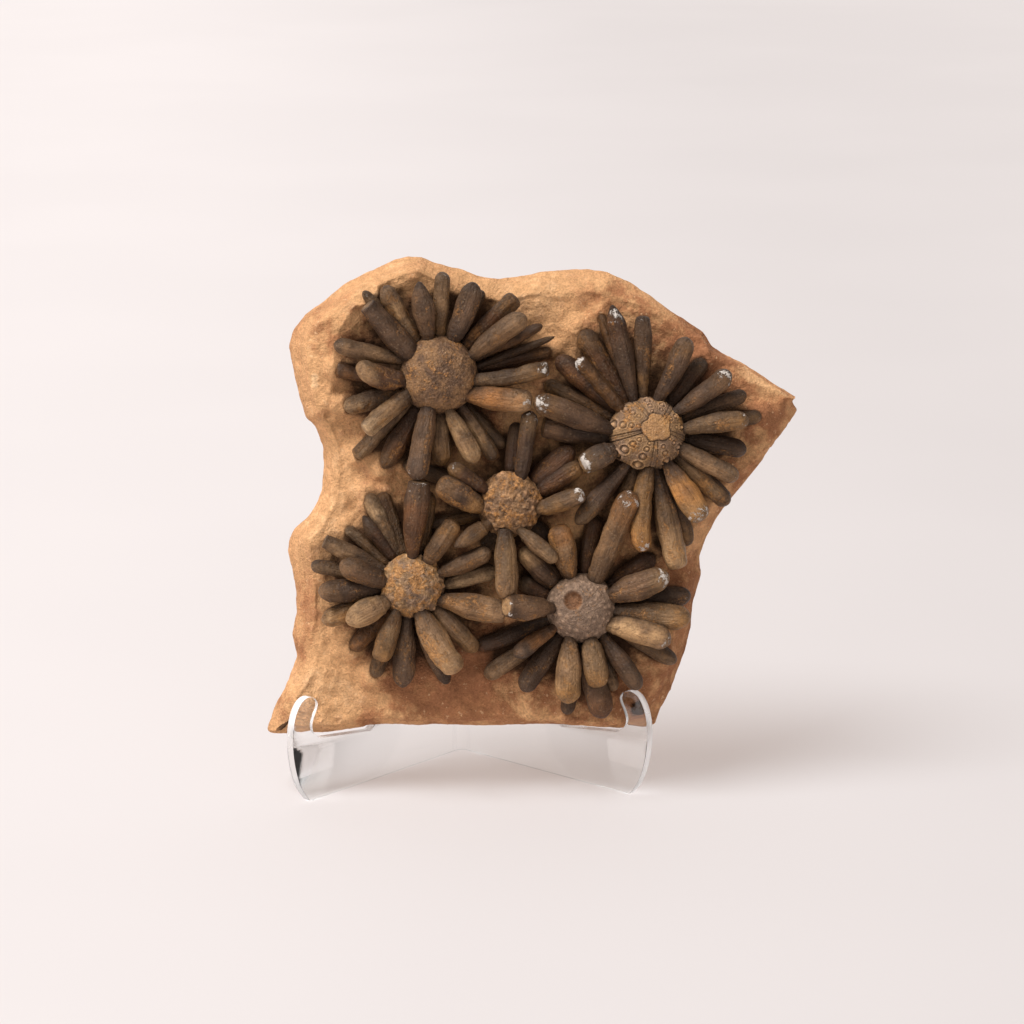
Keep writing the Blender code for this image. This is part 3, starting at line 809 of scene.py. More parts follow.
UPPER_RIGHT = UrchinPlan(
    name="urchin_upper_right", middle=(646.5, 434.0), radius=17.4, top=21.0, seed=8.6,
    knobs=Columns(), tones=(T.GREY, T.OLIVE), grain_height=0.10, grain_size=0.9, flatten=0.07, crust=0.2,
    rings=130, sides=330,
    clubs={
        TOP: (
            Club(36.2, 47.1, 9.2, 37, T.UMBER, fleck=0.25, bend=0.6, end_tone=T.BROWN),
            Club(8, 46.5, 9.7, 6, T.OLIVE, bend=-0.8, crust=0.2, fleck=0.1,
                 end_tone=T.OCHRE),
            Club(334.3, 45.9, 8, 338, T.TAN, F.EVEN, fleck=0.12),
            Club(303, 46.3, 12, 305, T.GOLD, F.CLUB, E.BLUNT, fleck=0.22, crust=0.2,
                 end_tone=T.OCHRE, root_tone=T.UMBER),
            Club(267.5, 53.1, 9.6, 273, T.OCHRE, F.EVEN, bend=1.5, fleck=0.2, crust=0.3,
                 end_tone=T.GOLD),
            Club(205.8, 32.2, 10.5, 205, T.GREY, F.PLUMP, E.BROKEN, fleck=0.55, end_tone=T.OLIVE),
            Club(163, 52.8, 11.5, 174, T.DARK, fleck=0.33, end_tone=T.BROWN),
        ),
        OVER: (
            Club(232, 51.5, 9, 238, T.DARK, F.SLIM, end_tone=T.OLIVE),
            Club(105, 60.2, 8.7, 111, T.DARK, F.CLUB, E.POINTED, fleck=0.35, end_tone=T.RUSTY,
                 root_tone=T.UMBER),
            Club(66.6, 47.3, 9.7, 74, T.DARK, bend=0.9, end_tone=T.BROWN),
            Club(132.5, 46.4, 7.3, 135, T.GOLD, F.EVEN, fleck=0.3, crust=0.7, end_tone=T.WARM),
        ),
        MID: (
            Club(92, 53.3, 7.8, 96, T.UMBER, F.WAISTED, E.BLUNT, crust=0.2, root_tone=T.OCHRE),
            Club(283, 62.5, 11.5, 285, T.OLIVE, F.CLUB, E.BLUNT, crust=0.3, end_tone=T.SAND,
                 root_tone=T.UMBER),
        ),
        SUB: (
            Club(22, 48.5, 7.3, 25, T.UMBER, F.EVEN, end_tone=T.BROWN),
            Club(350.5, 45.6, 8.7, 355, T.BLACK, end_tone=T.DARK),
            Club(319.8, 48.7, 9, 325, T.OLIVE, F.EVEN, crust=0.5, end_tone=T.BROWN),
            Club(283.4, 45.5, 6.9, 283, T.BLACK, F.EVEN),
            Club(175.8, 47, 10, 187, T.BLACK, F.EVEN, E.BROKEN, end_tone=T.UMBER),
            Club(139.4, 53.3, 10, 140, T.RUSTY),
        ),
        LOW: (
            Club(111, 57.8, 6, 114, T.WARM, F.SLIM, end_tone=T.GOLD),
            Club(52.3, 42.7, 7.5, 52, T.RUSTY, F.EVEN, end_tone=T.OLIVE),
            Club(9, 52.4, 7, 14, T.OLIVE, F.EVEN, end_tone=T.OCHRE),
            Club(290.5, 53.7, 8.7, 294, T.BROWN, end_tone=T.OCHRE),
            Club(252, 35, 8, 252, T.TAN, F.EVEN, end_tone=T.BROWN),
            Club(153.6, 51.3, 7.8, 155, T.BROWN, F.EVEN, crust=0.4, end_tone=T.OCHRE),
            Club(122, 54.9, 9.5, 124, T.RUSTY, F.EVEN, crust=1.0, end_tone=T.BROWN),
        ),
    },
)
CENTRE = UrchinPlan(
    name="urchin_centre", middle=(509.5, 504.0), radius=14.5, top=18.5, seed=14.7,
    knobs=Knobs(((0.3, 7, 1.0, 0.35), (0.55, 13, 1.0, 0.4), (0.78, 17, 1.1, 0.5), (1.0, 16, 1.5, 0.9))),
    tones=(T.BROWN, T.UMBER), grain_height=0.50, grain_size=1.8, crust=0.40,
    clubs={
        TOP: (
            Club(77.4, 43, 7.8, 66, T.DARK, F.EVEN, fleck=0.22, end_tone=T.OLIVE),
            Club(7.5, 34.2, 8.7, 345, T.OCHRE, F.PLUMP, E.BLUNT, lift=2.0, fleck=0.4, end_tone=T.TAN),
            Club(309.3, 33.5, 7, 291, T.SAND, F.PLUMP, lift=5.0),
            Club(268.2, 42.8, 10.6, 260, T.OLIVE, F.EVEN, lift=4.0, end_tone=T.TAN),
            Club(218, 31.5, 7.8, 225, T.OCHRE, F.PLUMP, E.POINTED, lift=3.0, end_tone=T.TAN),
            Club(163.3, 33.4, 11.5, 189, T.DARK, F.PLUMP, E.BLUNT, crust=0.6, end_tone=T.BROWN,
                 root_tone=T.OCHRE),
            Club(147.6, 32.5, 8.3, 150, T.RUSTY, F.PLUMP, fleck=0.1, end_tone=T.OCHRE),
        ),
        MID: (Club(28.8, 37.6, 9.7, 20, T.RUSTY, F.PLUMP, end_tone=T.OCHRE),),
        SUB: (
            Club(85, 37, 6.8, 88, T.RUSTY, F.EVEN, end_tone=T.BROWN),
            Club(41, 38.5, 10.5, 44, T.RUSTY, F.PLUMP),
        ),
        LOW: (
            Club(318, 24, 7, 318, T.UMBER, F.EVEN, end_tone=T.DARK),
            Club(243, 24, 7, 243, T.OLIVE, F.EVEN, end_tone=T.BROWN),
            Club(195, 36.8, 6.5, 200, T.OCHRE, F.EVEN, end_tone=T.TAN),
            Club(159, 51, 7, 155, T.BROWN, F.EVEN, end_tone=T.OLIVE),
        ),
    },
)
LOWER_LEFT = UrchinPlan(
    name="urchin_lower_left", middle=(411.8, 585.5), radius=14.4, top=18.5, seed=21.3,
    knobs=Knobs(((0.4, 8, 1.1, 0.25), (0.68, 13, 1.1, 0.4), (0.99, 15, 1.2, 0.95)), scatter=0.2),
    tones=(T.GREY, T.OLIVE), grain_height=0.40, grain_size=1.7, crust=0.95,
    clubs={
        TOP: (
            Club(86, 47, 11, 90, T.RUSTY, F.CLUB, E.BROKEN, fleck=0.1, end_tone=T.DARK),
            Club(56.3, 34.9, 9.7, 57.5, T.BROWN, F.PLUMP, E.BLUNT, crust=0.5, end_tone=T.OCHRE),
            Club(23.6, 38.8, 8.4, 22.6, T.BROWN, end_tone=T.TAN),
            Club(297.9, 44.2, 11.8, 287, T.TAN, F.PLUMP, E.BLUNT, bend=1.2, crust=0.7, end_tone=T.SAND),
            Club(246.4, 36.9, 9.8, 238.6, T.OLIVE, F.CLUB, E.BLUNT, crust=0.4, end_tone=T.OCHRE),
            Club(209.5, 33.8, 10.6, 212, T.SAND, F.PLUMP),
            Club(162.5, 33.9, 10.6, 175, T.UMBER, F.PLUMP, fleck=0.05, end_tone=T.BROWN),
        ),
        OVER: (Club(343.8, 44.2, 12, 330, T.BROWN, F.CLUB, E.BROKEN, crust=0.3, end_tone=T.TAN),),
        MID: (
            Club(314.6, 41.7, 8.2, 316, T.TAN, F.PLUMP, end_tone=T.OCHRE),
            Club(264.8, 46.2, 10.2, 262, T.UMBER, F.WAISTED, crust=0.2, end_tone=T.DARK),
            Club(183.8, 42.2, 10.6, 187, T.BLACK, end_tone=T.BROWN),
            Club(153.2, 44.4, 7.7, 150, T.TAN, F.WAISTED, E.BROKEN, end_tone=T.SAND),
        ),
        SUB: (
            Club(10.2, 39.5, 8, 357.6, T.CREAM),
            Club(79.7, 43.3, 8, 73, T.BROWN, end_tone=T.OCHRE),
            Club(290, 47.2, 8.6, 277, T.UMBER, F.SLIM, end_tone=T.DARK),
            Club(201.8, 43.6, 9, 203, T.OCHRE, crust=0.8, end_tone=T.SAND),
            Club(168.2, 46.3, 6.5, 166, T.OLIVE, F.EVEN, end_tone=T.TAN),
            Club(125, 38.4, 7.3, 122, T.RUSTY, F.CLUB, E.POINTED, end_tone=T.BROWN),
        ),
        LOW: (
            Club(247.3, 44.6, 7.3, 246, T.TAN, F.EVEN, crust=0.5),
            Club(227, 39.6, 8, 227, T.WARM, F.EVEN, crust=0.3),
            Club(138.5, 39.3, 5, 138, T.OCHRE, F.EVEN, crust=0.5, end_tone=T.CREAM),
            Club(115.5, 45.7, 9, 114, T.CREAM, crust=0.6, end_tone=T.SAND),
            Club(108, 44, 6.8, 104, T.SAND, F.EVEN, crust=0.5, end_tone=T.GOLD),
        ),
    },
)
LOWER_RIGHT = UrchinPlan(
    name="urchin_lower_right", middle=(581.0, 608.0), radius=15.6, top=19.5, seed=29.9,
    knobs=Knobs(((0.25, 7, 0.8, 0.25), (0.42, 12, 0.9, 0.35), (0.58, 17, 0.9, 0.40), (0.74, 22, 0.9, 0.42),
                 (0.93, 24, 1.1, 0.5)), scatter=0.25),
    tones=(T.MAUVE, T.MAUVE), grain_height=0.14, grain_size=0.8, crust=-0.3, hole=(-4.5, 4.4, 4.3),
    clubs={
        TOP: (
            Club(66.6, 57.5, 10.5, 64, T.BROWN, F.EVEN, fleck=0.28, end_tone=T.WARM),
            Club(179, 33.8, 12, 180, T.UMBER, F.CLUB, E.BROKEN, lift=6.0, fleck=0.12),
            Club(215.6, 37, 7.7, 216, T.WARM, end_tone=T.GREY),
            Club(262, 43.5, 11.5, 248, T.TAN, crust=0.2, end_tone=T.OCHRE),
            Club(282.4, 36.6, 10.6, 288, T.OLIVE, F.PLUMP, E.BLUNT, crust=0.4, end_tone=T.OCHRE),
            Club(339.2, 43.3, 11.8, 327, T.SAND, F.PLUMP, fleck=0.15, bend=-1.0,
                 end_tone=T.TAN),
            Club(20.6, 42.3, 11.7, 23.5, T.UMBER, F.PLUMP, fleck=0.35, end_tone=T.OLIVE),
        ),
        OVER: (
            Club(105.2, 38.6, 12, 110, T.BROWN, F.CLUB, E.BLUNT, crust=0.7, end_tone=T.WARM),
            Club(306, 45.2, 9, 309, T.DARK, F.WAISTED, end_tone=T.UMBER),
            Club(354.5, 49.6, 11.4, 356, T.OLIVE, crust=0.5, end_tone=T.OCHRE),
        ),
        SUB: (
            Club(135.2, 38.3, 10.6, 138, T.DARK, F.PLUMP, end_tone=T.SAND),
            Club(234.6, 45.8, 9, 232, T.DARK),
            Club(281.7, 50.7, 11, 275, T.PLUM, end_tone=T.RUSTY),
            Club(292, 40.3, 6.5, 296, T.OLIVE, F.EVEN, end_tone=T.TAN),
        ),
        LOW: (
            Club(81.5, 42.2, 7.5, 84, T.RUSTY, F.EVEN),
            Club(156.3, 30.6, 8, 158, T.RUSTY, F.EVEN, end_tone=T.OLIVE),
            Club(200.6, 50, 8, 203, T.BLACK, end_tone=T.RUSTY),
            Club(215.7, 53.2, 7.8, 218, T.TAN),
            Club(262.4, 48.4, 7, 262, T.DARK, F.EVEN, end_tone=T.UMBER),
            Club(330.5, 49.3, 7.5, 332, T.TAN),
            Club(6.8, 49.8, 9.5, 8, T.BLACK, end_tone=T.DARK),
            Club(35.7, 40.8, 9, 40, T.RUSTY),
        ),
    },
)
PLANS = (UPPER_LEFT, UPPER_RIGHT, CENTRE, LOWER_LEFT, LOWER_RIGHT)


# ---------------------------------------------------------------- the rock slab


@dataclass(frozen=True)
class Bed:
    """Where a low club lies in the rock: its ends on the face, its width and how high it is bedded."""

    start: np.ndarray
    end: np.ndarray
    width: float
    height: float


@dataclass(frozen=True)
class Facet:
    """A flat break: a line drawn across the face, and how steeply the rock falls away beyond it.

    The fall is in degrees from the face, and the drop, in millimetres, is how far below the face
    the line runs. A pale facet is bleached.
    """

    start: tuple[int, int]
    end: tuple[int, int]
    fall: float
    drop: float = 0.0
    paleness: float = 0.0


@dataclass
class RockSlab:
    """The slab: a broken plate with a rolling face, sloping ledged edges and beds for low clubs."""

    thickness: float = 24.0 * MM
    outline_depth: float = 12.0 * MM
    voxel: float = 1.1 * MM
    corner_ease: float = 2.5 * MM
    slope_ease: float = 6.0 * MM
    ledge_reach: float = 1.3 * MM
    rounding: float = 6.5 * MM
    hollow_depth: float = 1.2 * MM
    pit_depth: float = 0.62 * MM
    flake_depth: float = 0.36 * MM
    cover_drop: float = 0.25 * MM
    bed_layer: float = 4.5 * MM
    finish: RockFinish = field(default_factory=RockFinish)
    outline: tuple[tuple[int, int], ...] = (
        (268, 731), (279, 701), (285, 690), (290, 676), (298, 657), (293, 636), (296, 616), (295, 587),
        (293, 569), (289, 551), (290, 540), (295, 530), (308, 518), (318, 503), (323, 491), (325, 467),
        (324, 447), (316, 427), (306, 418), (302, 402), (295, 375), (290, 346), (294, 330), (305, 315),
        (325, 301), (343, 284), (368, 272), (388, 263), (410, 256), (423, 257), (437, 263), (461, 268),
        (479, 276), (500, 279), (524, 275), (545, 271), (588, 269), (608, 272), (631, 282), (663, 304),
        (702, 332), (712, 347), (731, 358), (745, 364), (770, 381), (795, 396), (791, 402), (799, 410),
        (780, 435),
        (761, 462), (741, 486), (718, 517), (706, 539), (701, 556), (702, 576), (695, 601), (692, 627),
        (681, 661), (670, 690), (659, 708), (655, 724), (641, 727), (627, 728), (603, 727), (567, 725),
        (512, 723), (467, 724), (410, 724), (386, 723), (372, 725), (357, 728), (341, 731), (310, 731),
        (289, 732),
    )
    slopes: tuple[tuple[int, int, float, float], ...] = (
        (270, 728, 4, 8), (290, 640, 8, 13), (292, 560, 8, 13), (312, 510, 6, 9), (323, 460, 6, 9),
        (303, 400, 5, 10), (293, 340, 6, 12), (345, 285, 7, 12), (415, 258, 6, 10), (500, 278, 9, 9),
        (600, 271, 10, 10), (680, 318, 6, 9), (712, 347, 2, 10), (740, 362, 1.5, 10), (768, 380, 1.5, 10),
        (796, 400, 1.5, 8), (786, 424, 2, 8), (766, 452, 3, 10),
        (735, 495, 6, 12), (703, 570, 9, 14), (690, 640, 9, 14), (660, 710, 8, 13), (600, 728, 3, 6),
        (500, 723, 3, 6), (380, 724, 3, 6),
    )
    swells: tuple[tuple[int, int, int, float], ...] = (
        (338, 318, 27, 6.5), (324, 360, 24, 6.0), (318, 400, 22, 5.0), (318, 428, 15, 3.0),
        (372, 285, 22, 5.0), (415, 270, 22, 4.0), (455, 284, 20, 2.0), (530, 290, 30, 2.5),
        (590, 286, 30, 3.0), (650, 308, 26, 2.0), (745, 385, 26, 1.5), (312, 535, 22, 3.0),
        (303, 610, 20, 2.5), (290, 700, 24, 1.5), (700, 530, 22, 1.0), (670, 680, 22, 1.5),
        (438, 375, 60, -1.2), (646, 434, 64, -1.2), (510, 504, 60, -1.2), (412, 586, 60, -1.2),
        (581, 608, 60, -1.2),
    )
    # Crests of the face: drawn points, height and half width in millimetres.
    ridges: tuple[tuple[tuple[tuple[int, int], ...], float, float], ...] = (
        (((372, 288), (352, 306), (340, 330), (334, 352), (330, 386), (323, 420), (328, 452)), 1.7, 2.6),
        (((470, 276), (520, 287), (560, 283), (606, 281)), 1.0, 2.2),
        (((690, 342), (712, 354), (734, 368)), 1.0, 2.0),
    )
    facets: tuple[Facet, ...] = (
        Facet((716, 352), (749, 381), 36.0, paleness=0.5),
        Facet((746, 378), (784, 400), 40.0, paleness=0.6),
        Facet((784, 401), (773, 428), 50.0, drop=0.3),
        Facet((774, 424), (716, 520), 40.0, drop=0.2),
        Facet((596, 276), (712, 350), 44.0, drop=-0.4),
        Facet((470, 278), (600, 277), 40.0, drop=-0.6, paleness=0.35),
        Facet((692, 548), (688, 610), 40.0),
        Facet((688, 606), (668, 668), 46.0),
        Facet((673, 660), (645, 702), 40.0, drop=-0.3),
        Facet((303, 560), (305, 650), 32.0, drop=-0.2),
        Facet((307, 640), (290, 730), 32.0),
        Facet((322, 505), (296, 545), 46.0),
        Facet((372, 290), (318, 318), 36.0, drop=1.0, paleness=0.3),
        Facet((345, 720), (392, 717), 50.0, drop=0.2),
    )
    # Stains and bleached places of the face: drawn point, radius in drawing steps, paleness.
    stains: tuple[tuple[int, int, int, float], ...] = (
        (318, 330, 40, -0.08), (310, 390, 30, 0.05), (330, 470, 30, 0.3), (320, 520, 34, 0.4),
        (380, 275, 30, 0.25), (540, 280, 40, 0.35), (770, 390, 16, 0.15), (300, 690, 34, 0.3),
        (345, 700, 34, 0.35), (700, 600, 60, -0.7), (650, 690, 60, -0.58), (560, 705, 46, -0.5),
        (450, 694, 44, -0.68), (400, 672, 30, -0.6), (490, 660, 44, -0.7), (740, 480, 46, -0.5),
        (705, 350, 36, -1.1), (765, 415, 30, -0.6), (640, 318, 44, -0.3), (620, 292, 16, -0.25),
        (480, 400, 40, -0.4),
        (356, 655, 22, -0.3), (296, 600, 15, -0.5), (297, 650, 15, -0.7), (284, 702, 17, -0.65),
        (370, 727, 13, -0.9),
        (370, 330, 34, -0.4), (314, 377, 3, 2.4), (315, 384, 3, 2.4),
    )

    @staticmethod
    def spots(places: np.ndarray, rows: tuple[tuple[int, int, int, float], ...]) -> np.ndarray:
        """Sum of soft round spots at slab places.

        Args:
            places: (n, 2) places in metres.
            rows: each spot's drawn point, radius in drawing steps and amount.

        Returns:
            The sum at each place.
        """
        total = np.zeros(len(places))
        for x, y, radius, amount in rows:
            away = np.linalg.norm(places - VIEW.on_face(x, y), axis=1)
            total += amount * np.exp(-((away / (radius * VIEW.mm_per_step * MM)) ** 2))
        return total

    def relief(self, places: np.ndarray) -> np.ndarray:
        """Height of the face over w = 0 at slab places, in metres."""
        return self.spots(places, self.swells) * MM

    def relief_at(self, place: Vector) -> float:
        """Height of the face under one place."""
        return float(self.relief(np.array([place[:2]]))[0])

    def paleness(self, places: np.ndarray) -> np.ndarray:
        """How bleached, or below 0 how stained, the face is at slab places."""
        return self.spots(places, self.stains)

    def corners(self) -> np.ndarray:
        """The outline's points in the slab's frame, in metres."""
        return np.array([tuple(VIEW.place(x, y, -self.outline_depth)[:2]) for x, y in self.outline])

    def nearest_on(self, places: np.ndarray) -> tuple[np.ndarray, np.ndarray, np.ndarray]:
        """Finds the outline near slab places.

        Args:
            places: (n, 2) places in metres.

        Returns:
            Distance of each place from the outline, its nearest point there, and the way in from it
            as a unit direction that turns smoothly round the corners.
        """
        best = np.full(len(places), np.inf)
        nearest, inward = np.zeros_like(places), np.zeros_like(places)
        outline = self.corners()
        for start, end in zip(outline, np.roll(outline, -1, axis=0)):
            _, foot, away = along_line(places, start, end)
            closer = away < best
            best[closer] = away[closer]
            nearest[closer] = foot[closer]
            weight = 1.0 / (away**2 + self.corner_ease**2) ** 2
            inward += weight[:, None] * np.array((end[1] - start[1], start[0] - end[0]))
        return best, nearest, inward / np.linalg.norm(inward, axis=1)[:, None]

    def edge_slopes(self, places: np.ndarray) -> tuple[np.ndarray, np.ndarray]:
        """Inset and depth of the sloping edge near each place, in metres."""
        total, inset, depth = (np.zeros(len(places)) for _ in range(3))
        for x, y, slope_inset, slope_depth in self.slopes:
            apart = np.sum((places - VIEW.on_face(x, y)) ** 2, axis=1)
            weight = 1.0 / (apart + self.slope_ease**2) ** 2
            total += weight
            inset += weight * slope_inset * MM
            depth += weight * slope_depth * MM
        return inset / total, depth / total

    def blank(self) -> bpy.types.Mesh:
        """The plain plate with even small faces."""
        curve = bpy.data.curves.new("slab_blank", "CURVE")
        curve.dimensions = "2D"
        curve.fill_mode = "BOTH"
        curve.extrude = self.thickness / 2
        closed_line(curve, self.corners())
        return remeshed(curve, Matrix.Translation((0.0, 0.0, -self.thickness / 2)), self.voxel)

    def ledges(self, points: np.ndarray) -> np.ndarray:
        """How far the bedding steps in or out at places of the broken edge, as a share."""
        depth = points[:, 2] - 0.5 * MM
        coarse = np.array([
            noise.noise(Vector((p[0] * 22, p[1] * 22, level * 3.7)))
            for p, level in zip(points, np.floor(depth / self.bed_layer))
        ])
        warped = depth + wander(points * (1, 1, 0.2), 9 * MM, 4.0) * 1.2 * MM
        fine = np.array([
            noise.noise(Vector((p[0] * 70, p[1] * 70, level * 5.3)))
            for p, level in zip(points, np.floor(warped / (1.6 * MM)))
        ])
        return 0.1 + coarse + 0.55 * fine * smooth_step(-points[:, 2], 1.0 * MM, 3.0 * MM)

    def crests(self, places: np.ndarray) -> np.ndarray:
        """Height of the ridges at slab places."""
        height = np.zeros(len(places))
        for line, rise, half_width in self.ridges:
            corners = [VIEW.on_face(x, y) for x, y in line]
            away = np.full(len(places), np.inf)
            for start, end in zip(corners, corners[1:]):
                away = np.minimum(away, along_line(places, start, end)[2])
            height = np.maximum(height, rise * MM * np.exp(-away / (half_width * MM)))
        return height

    def cut_facets(self, points: np.ndarray) -> tuple[np.ndarray, np.ndarray]:
        """Cuts the flat breaks into slab points.

        Args:
            points: (n, 3) points in metres, which are moved.

        Returns:
            How pale each point's facet is, and 0 off the facets, and where the rock is cut.
        """
        pale, cut = np.zeros(len(points)), np.zeros(len(points))
        centre = self.corners().mean(axis=0)
        for facet in self.facets:
            start, end = (VIEW.place(*place) for place in (facet.start, facet.end))
            middle = (start + end) / 2
            run = np.array((end - start)[:2])
            outward = np.array((run[1], -run[0])) / np.linalg.norm(run)
            if outward @ (np.array(middle[:2]) - centre) < 0:
                outward = -outward
            fall = math.radians(facet.fall)
            normal = np.array((*(outward * math.sin(fall)), math.cos(fall)))
            foot = np.array((middle.x, middle.y, self.relief_at(middle) - facet.drop * MM))
            along = (points[:, :2] - np.array(start[:2])) @ run / (run @ run)
            ease = 4.0 * MM / np.linalg.norm(run)
            share = smooth_step(along, -ease, 0.0) * smooth_step(along, 1.0 + ease, 1.0)
            share *= smooth_step((points[:, :2] - foot[:2]) @ outward, -14 * MM, -10 * MM)
            over = np.maximum((points - foot) @ normal, 0.0) * share
            points -= over[:, None] * normal
            gone = smooth_step(over, 0.1 * MM, 0.5 * MM)
            pale, cut = np.maximum(pale, gone * facet.paleness), np.maximum(cut, gone)
        return pale, cut

    def bedding(self, places: np.ndarray, beds: list[Bed]) -> tuple[np.ndarray, np.ndarray]:
        """Height of the grit that holds the low clubs, and nearness to any club at slab places; the nearness
        serves as painted shade and browning round the clubs' roots.
        """
        height = np.zeros(len(places))
        near = np.zeros(len(places))
        for bed in beds:
            along, _, away = along_line(places, bed.start, bed.end)
            rooted = 1.0 - 0.85 * smooth_step(along, 0.55, 0.95)
            near = np.maximum(near, smooth_step(away, bed.width * 1.5, bed.width * 0.3) * rooted)
            if bed.height > 0.0:
                rise = bed.height * smooth_step(away, bed.width * 0.5 + 4.5 * MM, bed.width * 0.25)
                height = np.maximum(height, rise)
        return height, near

    def build(self, place: Matrix, beds: list[Bed]) -> bpy.types.Object:
        """Breaks the plate to its shape and dresses it.

        Args:
            place: the slab's frame in the world.
            beds: where clubs lie in or over the rock.

        Returns:
            The slab.
        """
        mesh = self.blank()
        points = np.array([vertex.co for vertex in mesh.vertices])
        flat = points[:, :2].copy()
        away, nearest, inward = self.nearest_on(flat)
        inset, depth = self.edge_slopes(nearest)
        below = -points[:, 2]
        slope = np.clip(1.0 - below / depth, 0.0, 1.0) ** 1.4
        behind = np.clip((below - (self.thickness - 5 * MM)) / (5 * MM), 0.0, 1.0)
        push = slope * inset + behind * 2.0 * MM + self.ledges(points) * self.ledge_reach
        push *= np.clip(1.0 - away / (3.0 * np.maximum(push, 1 * MM)), 0.0, 1.0)
        flat += inward * push[:, None]
        front = np.clip((points[:, 2] + self.thickness * 0.5) / (self.thickness * 0.5), 0.0, 1.0)
        rounded = np.clip(1.0 - away / self.rounding, 0.0, 1.0) ** 2 * 2.2 * MM
        bedded, near = self.bedding(flat, beds)
        face = self.relief(flat) + self.crests(flat) + bedded - rounded * 0.35
        moved = np.column_stack([flat, points[:, 2] + front * face])
        facet_paleness, cut = self.cut_facets(moved)
        mesh.vertices.foreach_set("co", moved.ravel())
        mesh.update()
        normals = np.array([vertex.normal for vertex in mesh.vertices])
        hollows = np.abs(wander(moved, 14 * MM, 1.0, 3)) * self.hollow_depth
        pits = wander(moved, 4.0 * MM, 7.0, 3) * self.pit_depth
        flakes = wander(moved * (1, 1, 0.5), 24 * MM, 11.0, 2) * 3.0
        flakes = np.floor(flakes) + smooth_step(flakes - np.floor(flakes), 0.75, 1.0)
        inside = (smooth_step(away, 0.0, 3.0 * MM) * 0.7 + 0.3) * (1.0 - 0.60 * cut)
        moved += normals * ((flakes * self.flake_depth - hollows + pits - self.cover_drop) * inside)[:, None]
        mesh.vertices.foreach_set("co", moved.ravel())
        mesh.update()
        normals = np.array([vertex.normal for vertex in mesh.vertices])
        broken = smooth_step(normals[:, 2], 0.74, 0.42)
        pale = self.paleness(moved[:, :2])
        set_attribute(mesh, "lie", "FLOAT_VECTOR", moved)
        # Nearness to the clubs browns the stain part here and darkens the rock in its finish: painted shade
        # with some staining, most at the clubs' roots.
        wear = np.column_stack([
            np.clip(pale, 0.0, 1.0) * (1 - 0.3 * broken) + facet_paleness,
            broken * (1 - facet_paleness) * (1 - 0.8 * np.clip(pale, 0.0, 1.0)),
            np.maximum(-pale, 0.0) + near * front * 0.25,
        ])
        set_attribute(mesh, "near", "FLOAT", near * front)
        set_attribute(mesh, "wear", "FLOAT_VECTOR", wear)
        mesh.shade_smooth()
        return finish_piece("sandy_rock_slab", mesh, [self.finish.build()], place, ["rock_slab"])


def remeshed(curve: bpy.types.Curve, shift: Matrix, voxel: float) -> bpy.types.Mesh:
    """The mesh of a curve, remeshed to even faces.

    Args:
        curve: the curve, which is removed.
        shift: a matrix that moves its shape first.
        voxel: the size of the faces, in metres.

    Returns:
        The new mesh.
    """
    solid = drawn_mesh(linked("blank", curve))
    solid.transform(shift)
    blank = linked("blank", solid)
    remesh = blank.modifiers.new("even_faces", "REMESH")
    remesh.mode = "VOXEL"
    remesh.voxel_size = voxel
    return drawn_mesh(blank)


def set_attribute(mesh: bpy.types.Mesh, name: str, kind: str, values: np.ndarray) -> None:
    """Stores a number, a vector or a colour for each point of a mesh.

    Args:
        mesh: the mesh.
        name: the attribute's name, which the finishes read.
        kind: FLOAT, FLOAT_VECTOR or FLOAT_COLOR.
        values: one number or one row for each point.
    """
    attribute = mesh.attributes.new(name, kind, "POINT")
    field_name = {"FLOAT": "value", "FLOAT_COLOR": "color", "FLOAT_VECTOR": "vector"}[kind]
    if kind == "FLOAT_COLOR":
        values = np.column_stack([values, np.ones(len(values))])
    attribute.data.foreach_set(field_name, values.astype(np.float32).ravel())


